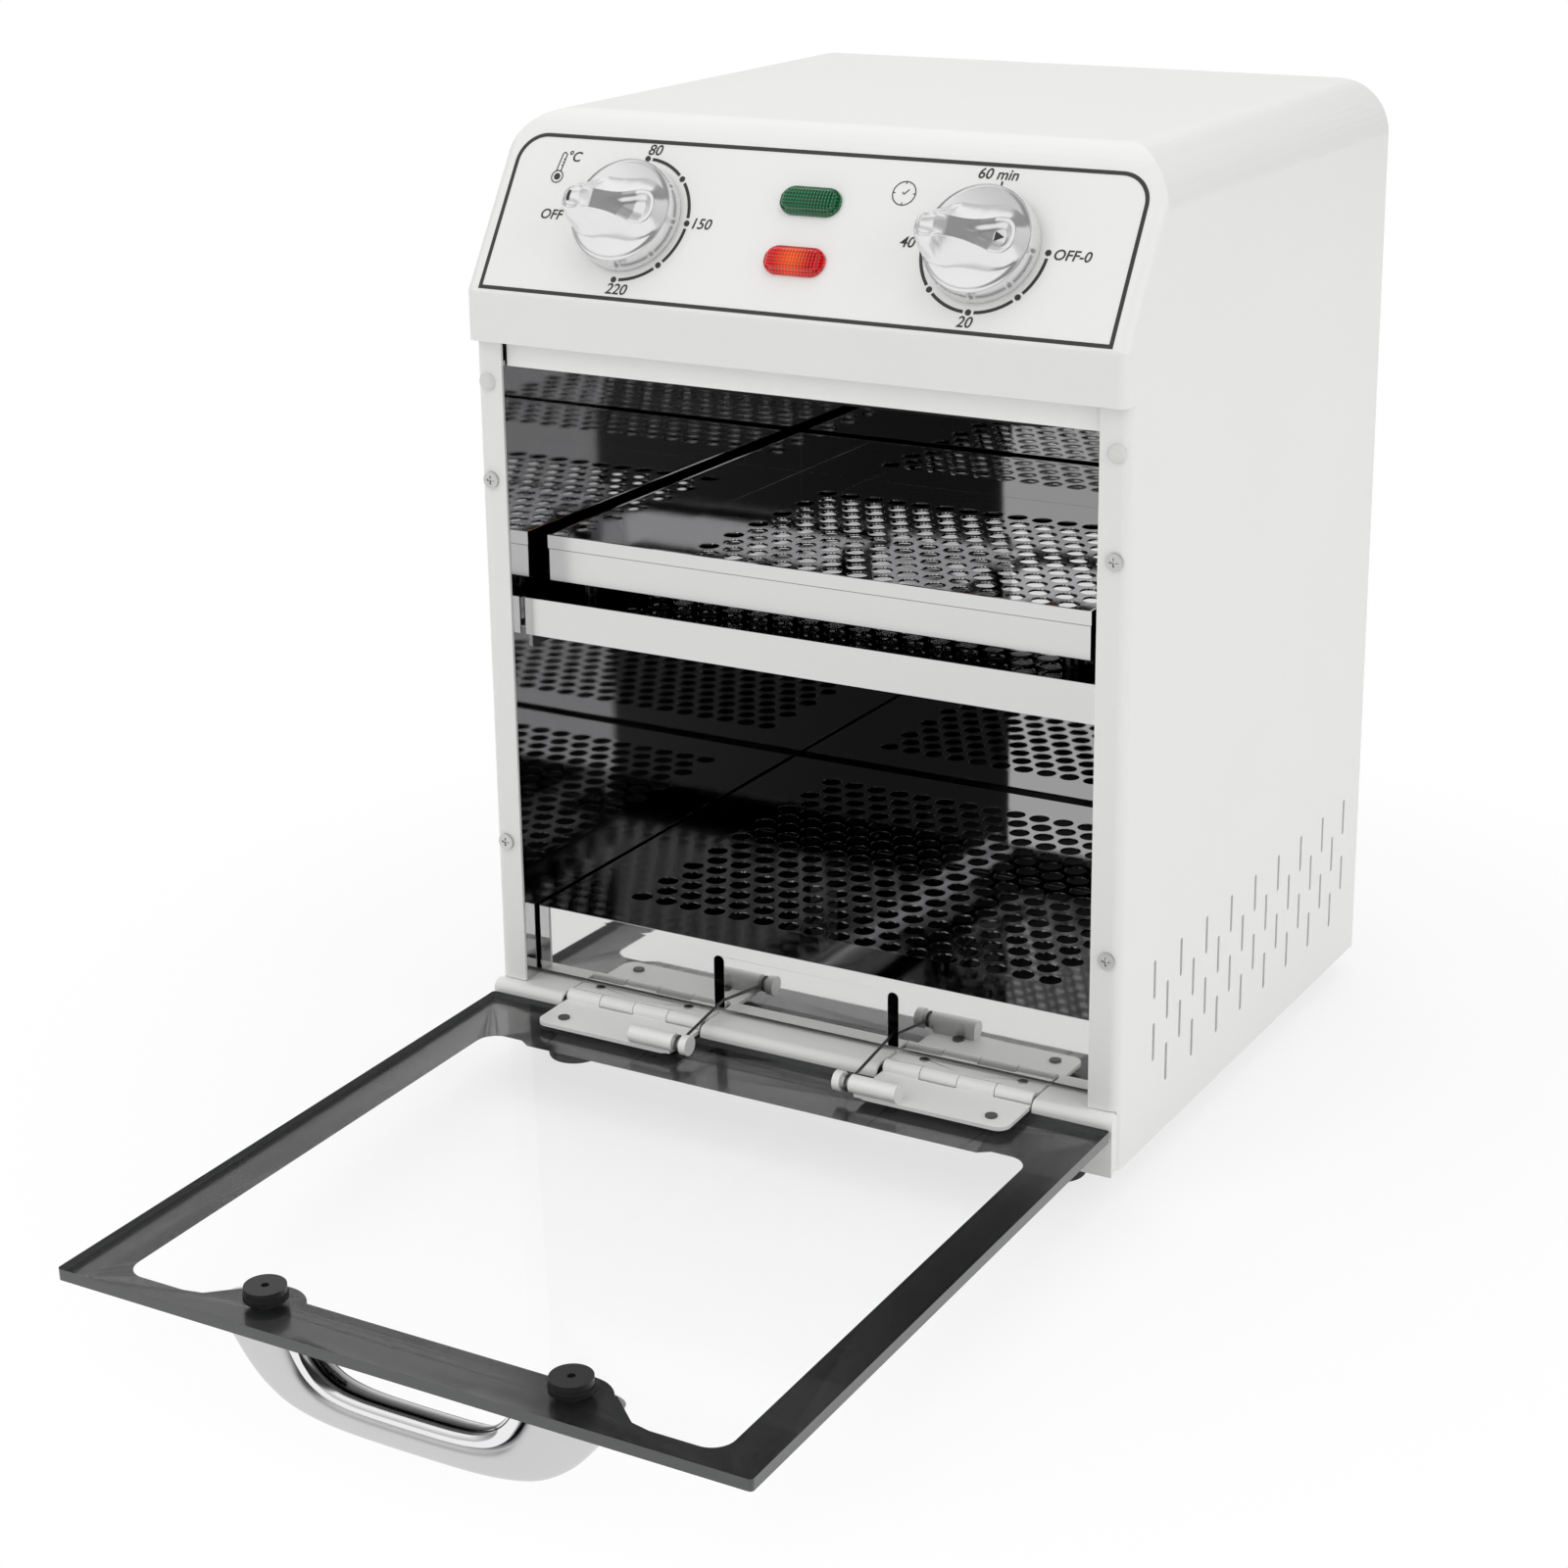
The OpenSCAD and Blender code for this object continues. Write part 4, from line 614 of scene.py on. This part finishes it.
def make_trim():
    """Inner trim: a bead that starts in a groove on the band's front, rolls over to the hole and falls
    away to the back; an attribute is 1 on the inside of the hole, where the plating is painted near-black
    as painted shade and dark reflection."""
    section = np.array([(0.02, 1.2), (0.05, 0.1), (0.1, -0.3), (0.22, -0.4), (0.4, -0.3), (0.58, 0.1),
        (0.74, 0.8), (0.87, 1.6), (0.96, 2.5), (1.0, 3.4), (0.99, 4.4), (0.92, 5.8), (0.76, 7.8),
        (0.54, 9.8), (0.32, 11.6), (0.14, 13.0), (0.04, 13.8), (0.0, 14.4)])
    # Painted shade: the points past the bead's top, inside the hole, are marked for the near-black colour.
    dark = (section[:, 1] > 2.2) * 1.0
    section = section + [0, BOLT_Y - GRIP_W / 2]
    piece = carried("handle_trim", trim_outer, trim_inner, section, "bright_chrome", "handle_liner")
    inside = piece.data.attributes.new("inside", "FLOAT", "POINT")
    inside.data.foreach_set("value", np.tile(dark, len(trim_outer)))


make_band()
make_trim()

# Feet and bumpers, turned shapes.


def turned_set(name, profile, sides, places, slot, node, to_front=False):
    """A profile of radius and height turned about the upright axis, or about the one that points to
    the front, and set down at each place as one piece."""
    a = np.linspace(0, FULL_TURN, sides, endpoint=False)
    circle = np.stack([np.cos(a), np.sin(a)], 1)
    one = np.concatenate([np.c_[r * circle, np.full(sides, z)] for r, z in profile])
    if to_front:
        one = one[:, [0, 2, 1]] * [1, -1, 1]
    points = case_place(np.concatenate([one + at for at in places]))
    shell = tube_faces(len(profile), sides)
    faces = [[v + i * len(one) for v in f] for i in range(len(places)) for f in shell]
    finish_piece(name, points, faces, "cabinet", slot, smooth=40, stands_for=node)


turned_set("feet_turned", [(5.6, 5.0), (5.6, 0.4), (5.9, 0.05), (9.6, 0.0), (10.4, 0.25), (10.7, 0.9),
    (10.8, 2.4), (11.1, 2.7), (11.1, 3.3), (10.9, 3.6), (11.2, 7.0), (11.45, 9.2), (11.3, 9.8),
    (10.8, 9.97), (2.4, 10.0), (2.4, 5.2)], 48,
    [(x, y, -FOOT) for x in (-107.0, 107.0) for y in (15.0, 235.0)], "rubber_black", "feet")
turned_set("bumpers_domed", [(3.45, 0.0), (3.5, 0.25), (3.4, 0.75), (3.0, 1.2), (2.3, 1.5), (1.4, 1.62),
    (0.5, 1.66), (0.05, 1.66)], 32,
    [(x, 5.0, 267.0) for x in (-129.5, 129.5)], "silicone", "bumpers", to_front=True)

# Dial knobs.

KNOB_SIDES = 320


def grip_outline():
    """Plan of the grip's top, nose on the left: a nose arc, a waist, a wider round tail."""
    x = smooth_curve([-20.2, -19.8, -18.6, -16.7, -13.5, -9.5, -5.0, 0.0, 4.5, 9.0, 12.5, 15.0, 16.2,
        16.6], 90)
    w = smooth_curve([0.0, 1.8, 3.1, 4.0, 4.3, 3.9, 3.6, 3.9, 5.0, 6.3, 6.4, 4.9, 2.8, 0.0], 90)
    return np.concatenate([np.stack([x, w], 1), np.stack([x[::-1], -w[::-1]], 1)[1:-1]])


def signed_distance(p, loop):
    """Distance of each point to a closed loop, negative inside."""
    a, b = loop, np.roll(loop, -1, 0)
    ab = b - a
    ap = p[:, None] - a[None]
    h = np.clip((ap * ab).sum(-1) / np.maximum((ab * ab).sum(-1), 1e-9), 0, 1)
    d = np.linalg.norm(ap - h[..., None] * ab, axis=-1).min(1)
    up = (a[None, :, 1] > p[:, None, 1]) != (b[None, :, 1] > p[:, None, 1])
    slope = (b[:, 0] - a[:, 0]) / np.where(np.abs(ab[:, 1]) < 1e-9, 1e-9, ab[:, 1])
    cross = up & (p[:, None, 0] < a[None, :, 0] + (p[:, None, 1] - a[None, :, 1]) * slope)
    return np.where(cross.sum(1) % 2 == 1, -d, d)


def knob_height(p):
    """Height above the panel at points of the plan: a domed disc, and a grip whose sides flare down
    by a power of the distance from its outline, rounder at the nose; its top falls to the dished tail."""
    x, y = p[:, 0], p[:, 1]
    r = np.hypot(x, y)
    base = 9.9 - 1.1 * (r / 20) ** 2 - 0.9 * np.clip((r - 18.2) / 1.8, 0, 1) ** 2
    d = signed_distance(p, grip_outline())
    bulb = smooth_step(-x, 9, 16)
    ridge = np.interp(x, [-21, -19.5, -17, -12, -7, -2, 3, 8, 12, 17],
        [15.4, 17.4, 18.8, 18.9, 18.0, 16.2, 14.4, 13.3, 13.0, 12.9]) - 0.075 * y ** 2 * bulb
    reach = np.interp(x, [-21, -16, -8, 0, 8, 14, 20], [3.6, 5.6, 8.4, 7.8, 6.2, 4.2, 3.0])
    out = np.clip(d / reach, 0, 1)
    side = bulb * (1 - out ** 2.4) + (1 - bulb) * (1 - out) ** 1.45
    scoop = smooth_step(-d, 0.9, 4.5) * smooth_step(x, -4, 4) * (d < 0)
    nose = np.clip(1 + d / 3.2, 0, 1) ** 2 * np.clip((-8 - x) / 5, 0, 1) * np.clip(-d, 0, 1)
    return base + (ridge - base) * side - 1.7 * scoop - 0.9 * nose


def make_knob(name, x, body, node):
    """The knob's height over a polar grid, and a skirt whose radii and heights are listed."""
    turn = np.linspace(0, FULL_TURN, KNOB_SIDES, endpoint=False)
    circle = np.stack([np.cos(turn), np.sin(turn)], 1)
    rings = np.concatenate([np.linspace(0.02, 16, 64), np.linspace(16.2, 20.0, 24)])
    plan = (rings[:, None, None] * circle).reshape(-1, 2)
    skirt = [(20.25, 8.35), (20.35, 7.7), (20.45, 6.2), (20.6, 3.6), (20.75, 1.5), (20.8, 0.8),
        (20.3, 0.65), (16.5, 0.7), (14.5, 1.2)]
    points = [np.c_[plan, knob_height(plan)]]
    points += [np.c_[r * circle, np.full(KNOB_SIDES, z)] for r, z in skirt]
    faces = [f[::-1] for f in tube_faces(len(rings) + len(skirt), KNOB_SIDES)]
    finish_piece(name, panel_place(np.concatenate(points), x, DIAL_U), faces, body, "knob_chrome",
        smooth=50, stands_for=node)


def knob_mark(name, x, body, outline):
    """A small raised mark on the grip: its outline lifted to follow the ridge, with a wall below."""
    p = np.array(outline, float)
    k = len(p)
    top = knob_height(p) + 0.35
    points = np.concatenate([np.c_[p, top], np.c_[p, top - 0.5]])
    walls = [[i, k + i, k + (i + 1) % k, (i + 1) % k] for i in range(k)]
    faces = [list(range(k))] + walls + [list(range(2 * k - 1, k - 1, -1))]
    finish_piece(name, panel_place(points, x, DIAL_U), faces, body, "print_ink")


make_knob("temperature_knob_chrome", TEMP_X, "temperature_dial", "temperature_knob")
make_knob("timer_knob_chrome", TIMER_X, "timer_dial", "timer_knob")
bar = [-2.0, -1.0, 0.0, 1.0, 2.0]
knob_mark("temperature_mark", TEMP_X, "temperature_dial",
    [(-15.9, u) for u in bar] + [(-16.8, u) for u in bar[::-1]])
knob_mark("timer_mark", TIMER_X, "timer_dial", [(8.6, -1.7), (11.8, 0.0), (8.6, 1.7)])

# Lamps.


def lamp_surface(name, u, node, slot):
    """Lens as a grid over a stadium, 24.5 by 11 mm: a bezel and a dome by the distance from the edge,
    ribs as a cosine of x, and a wall and a bottom below."""
    half_l, half_w, nx, ny = 12.25, 5.5, 150, 26
    xs = half_l * np.sin(np.linspace(-1, 1, nx) * math.pi / 2)
    v = np.sin(np.linspace(-1, 1, ny) * math.pi / 2)
    end = np.maximum(np.abs(xs) - (half_l - half_w), 0)
    half = np.maximum(np.sqrt(np.maximum(half_w ** 2 - end ** 2, 0)), 0.02)
    x = np.repeat(xs[:, None], ny, 1)
    inset = np.minimum(half[:, None] * (1 - np.abs(v[None])), half_l - np.abs(x))
    bezel = np.interp(inset, [0, 0.25, 0.8, 1.15, 1.3, 1.5, 2.0, 3.5, 6],
        [0.9, 1.5, 1.7, 1.5, 1.35, 2.5, 3.0, 3.35, 3.55])
    ribs = 0.11 * np.cos(x * FULL_TURN / 1.25) * np.clip((inset - 1.6) / 0.5, 0, 1)
    top = np.stack([x, half[:, None] * v[None], bezel + ribs], -1).reshape(-1, 3)
    border = np.concatenate([np.arange(nx) * ny, (nx - 1) * ny + np.arange(1, ny),
        np.arange(nx - 2, -1, -1) * ny + ny - 1, np.arange(ny - 2, 0, -1)])
    foot = top[border] * [1, 1, 0] + [0, 0, -0.1]
    below = len(top) + np.arange(len(border))
    wall = np.stack([below, np.roll(below, -1), np.roll(border, -1), border], 1)
    faces = np.concatenate([grid_faces(nx, ny)[:, ::-1], wall]).tolist() + [below[::-1].tolist()]
    finish_piece(name, panel_place(np.concatenate([top, foot]), LAMP_X, u), faces, "cabinet", slot,
        smooth=40, stands_for=node)


lamp_surface("run_lamp_lens", RUN_U, "run_lamp", "lens_green")
lamp_surface("power_lamp_lens", POWER_U, "power_lamp", "lens_red")

# Printed numbers and signs.


def print_text(name, words, x, u, size):
    """Flat slanted letters, drawn from the built-in outlines and laid on the slope."""
    c = bpy.data.curves.new(name, "FONT")
    c.body, c.size, c.shear, c.align_x, c.align_y = words, size, 0.18, "CENTER", "CENTER"
    c.resolution_u = 4
    c.offset = 0.07
    outline = add_object(name + "_outline", c)
    bpy.context.view_layer.update()
    mesh = bpy.data.meshes.new_from_object(outline.evaluated_get(bpy.context.evaluated_depsgraph_get()))
    co = np.zeros(len(mesh.vertices) * 3)
    mesh.vertices.foreach_get("co", co)
    co = co.reshape(-1, 3)
    co[:, 2] = PRINT_LIFT
    mesh.vertices.foreach_set("co", panel_place(co, x, u).ravel())
    mesh.update()
    bpy.data.objects.remove(outline)
    piece = add_object(name, mesh)
    mesh.materials.clear()
    mesh.materials.append(FINISH["print_ink"])
    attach(piece, "cabinet")


for k, (words, x, u, size) in enumerate((("80", -69.4, 60.8, 5.9), ("150", -41.6, 33.4, 5.8),
        ("220", -69.4, 5.6, 5.9), ("OFF", -106.4, 32.6, 5.5), ("°C", -103.6, 56.0, 5.6),
        ("60 min", 70.8, 60.6, 5.7), ("20", 72.4, 5.6, 5.8), ("40", 42.8, 33.0, 5.8),
        ("OFF-0", 106.0, 32.8, 5.5))):
    print_text("print_%02d" % k, words, x, u, size)


def flat_ring(y, r, t):
    """Ring of width t about a centre on the upright line."""
    a = np.linspace(0, FULL_TURN, 40, endpoint=False)
    circle = np.stack([np.cos(a), np.sin(a)], 1)
    points = np.concatenate([q * circle + [0, y] for q in (r - t / 2, r + t / 2)])
    return points, grid_faces(2, 40, around=True)[:, ::-1]


def flat_line(x0, y0, x1, y1, t):
    """Bar of width t from one point to another."""
    a, b = np.array([x0, y0], float), np.array([x1, y1], float)
    q = np.array([a[1] - b[1], b[0] - a[0]]) / np.linalg.norm(b - a) * t / 2
    return np.array([a - q, b - q, b + q, a + q]), np.array([[0, 1, 2, 3]])


def print_shapes(name, x, u, shapes):
    """Flat rings and bars, drawn at four fifths and laid on the slope as one piece."""
    points, faces, n = [], [], 0
    for p, f in shapes:
        points.append(np.c_[p * 0.8, np.full(len(p), PRINT_LIFT)])
        faces += (f + n).tolist()
        n += len(p)
    finish_piece(name, panel_place(np.concatenate(points), x, u), faces, "cabinet", "print_ink")


print_shapes("print_clock", 36.6, 51.2, [flat_ring(0, 5.6, 0.5), flat_line(-0.9, 0.6, 0, -0.5, 0.5),
    flat_line(0, -0.5, 2.2, 2.0, 0.5), flat_line(0, 4.4, 0, 5.6, 0.5), flat_line(0, -4.4, 0, -5.6, 0.5),
    flat_line(4.4, 0, 5.6, 0, 0.5), flat_line(-4.4, 0, -5.6, 0, 0.5)])
print_shapes("print_thermometer", -108.6, 52.0, [flat_ring(-5.2, 3.0, 0.55), flat_ring(-5.2, 0.85, 1.7),
    flat_line(-1.25, -2.3, -0.1, 6.4, 0.55), flat_line(1.2, -2.6, 2.2, 6.2, 0.55),
    flat_line(-0.1, 6.3, 0.9, 7.2, 0.55), flat_line(0.9, 7.2, 2.2, 6.1, 0.55),
    flat_line(0.6, 0.6, 1.5, 0.5, 0.5), flat_line(0.8, 2.2, 1.7, 2.1, 0.5),
    flat_line(1.0, 3.8, 1.9, 3.7, 0.5)])

# Camera, light and stage.

camera = add_object("camera", bpy.data.cameras.new("camera"))
camera.location = (0.54609, -0.938229, 0.521671)
camera.rotation_euler = (1.266391, 0.012532, 0.522279)
camera.data.lens = 71.4083
camera.data.shift_y = -0.06875
camera.data.clip_start = 0.05
bpy.context.scene.camera = camera


def area_lamp(name, place, aim, size, power):
    """A soft white light from a place to an aim, which the metal and the glass don't see."""
    light = bpy.data.lights.new(name, "AREA")
    light.shape = "RECTANGLE"
    light.size, light.size_y = size
    light.energy = power
    lamp = add_object(name, light)
    lamp.location = place
    lamp.rotation_euler = (Vector(aim) - Vector(place)).to_track_quat("-Z", "Y").to_euler()
    lamp.visible_glossy = False
    lamp.visible_transmission = False


area_lamp("key", (-0.9, -1.3, 1.5), (0, 0, 0.2), (1.2, 1.2), 6.0)
area_lamp("side", (1.6, -0.2, 0.9), (0, 0.1, 0.2), (1.0, 1.4), 5.5)
area_lamp("top", (0.0, 0.2, 1.8), (0, 0.1, 0.3), (1.4, 1.4), 7.5)


def stage_finish():
    """Pale diffuse floor. The camera, reflections and the glass see it mixed with white, and wholly
    white further away, so that a soft shadow stays near the object."""
    m = bpy.data.materials.new("stage_white")
    m.use_nodes = True
    t = m.node_tree
    b = t.nodes["Principled BSDF"]
    b.inputs["Base Color"].default_value = (0.88, 0.88, 0.88, 1)
    b.inputs["Roughness"].default_value = 0.9
    b.inputs["Specular IOR Level"].default_value = 0.1
    white = t.nodes.new("ShaderNodeEmission")
    white.inputs["Strength"].default_value = 1.0
    path = t.nodes.new("ShaderNodeLightPath").outputs
    seen = math_node(t, "MAXIMUM", path["Is Camera Ray"], path["Is Glossy Ray"])
    seen = math_node(t, "MAXIMUM", seen, path["Is Transmission Ray"])
    fade = blend_range(t, distance_to(t, (0.0, 0.12, 0.0)), 0.17, 0.40, 0.72, 1.0)
    both = mixed_shaders(t, math_node(t, "MULTIPLY", seen, fade), b.outputs[0], white.outputs[0])
    t.links.new(both, t.nodes["Material Output"].inputs["Surface"])
    return m


def make_floor():
    """Floor at the feet's level, which falls by 13.7 mm on a smooth step under the open door."""
    x = np.concatenate([[-3.0], np.linspace(-0.6, 0.6, 13), [3.0]])
    y = np.concatenate([[-3.0], np.linspace(-0.5, 0.1, 61), [3.0]])
    gx, gy = np.meshgrid(x, y, indexing="ij")
    gz = -0.0137 * (1 - smooth_step(gy, -0.2, -0.03))
    mesh = bpy.data.meshes.new("stage_floor")
    faces = grid_faces(len(x), len(y))[:, ::-1]
    mesh.from_pydata(np.stack([gx, gy, gz], -1).reshape(-1, 3).tolist(), [], faces.tolist())
    mesh.shade_smooth()
    mesh.materials.append(stage_finish())
    add_object("stage_floor", mesh)


make_floor()


def grey_ramp(tree, value, stops):
    """A ramp over -1 to 1 through grey stops, whose places run from 0 to 1, smooth between them."""
    n = tree.nodes.new("ShaderNodeValToRGB")
    n.color_ramp.interpolation = "EASE"
    e = n.color_ramp.elements
    e[0].position, e[1].position = stops[0][0], stops[-1][0]
    for k, (at, v) in enumerate(stops):
        c = e[0] if k == 0 else e[-1] if k == len(stops) - 1 else e.new(at)
        c.color = (v, v, v, 1)
    half = math_node(tree, "MULTIPLY", value, 0.5)
    tree.links.new(math_node(tree, "ADD", half, 0.5), n.inputs["Fac"])
    return n.outputs["Color"]


def make_studio():
    """World: an even light. Reflections see a pale room with a grey belt above eye level and a grey
    top, dark to the right of its middle; the camera sees white, through the glass too."""
    world = bpy.data.worlds.new("studio")
    bpy.context.scene.world = world
    world.use_nodes = True
    t = world.node_tree
    even = t.nodes["Background"]
    even.inputs["Color"].default_value = (1, 1, 1, 1)
    even.inputs["Strength"].default_value = 0.69
    way = split_axes(t, t.nodes.new("ShaderNodeTexCoord").outputs["Generated"])
    belt = grey_ramp(t, way["Z"], ((0.0, 0.9), (0.44, 0.9), (0.5, 0.7), (0.56, 0.55), (0.7, 0.75),
        (0.79, 1.0), (0.86, 0.95), (0.92, 0.45), (1.0, 0.5)))
    bars = grey_ramp(t, way["X"], ((0.0, 0.5), (0.16, 1.0), (0.38, 1.0), (0.43, 0.25), (0.5, 0.05),
        (0.72, 0.03), (0.80, 0.1), (0.84, 0.6), (0.92, 0.7), (1.0, 0.9)))
    room = t.nodes.new("ShaderNodeBackground")
    t.links.new(mixed(t, 1.0, belt, bars, blend="MULTIPLY"), room.inputs["Color"])
    white = t.nodes.new("ShaderNodeBackground")
    white.inputs["Color"].default_value = (1, 1, 1, 1)
    white.inputs["Strength"].default_value = 1.0
    path = t.nodes.new("ShaderNodeLightPath").outputs
    lit = mixed_shaders(t, path["Is Glossy Ray"], even.outputs[0], room.outputs[0])
    clear = math_node(t, "MAXIMUM", path["Is Camera Ray"], path["Is Transmission Ray"])
    t.links.new(mixed_shaders(t, clear, lit, white.outputs[0]), t.nodes["World Output"].inputs[0])


make_studio()

bpy.context.scene.view_settings.view_transform = "Standard"
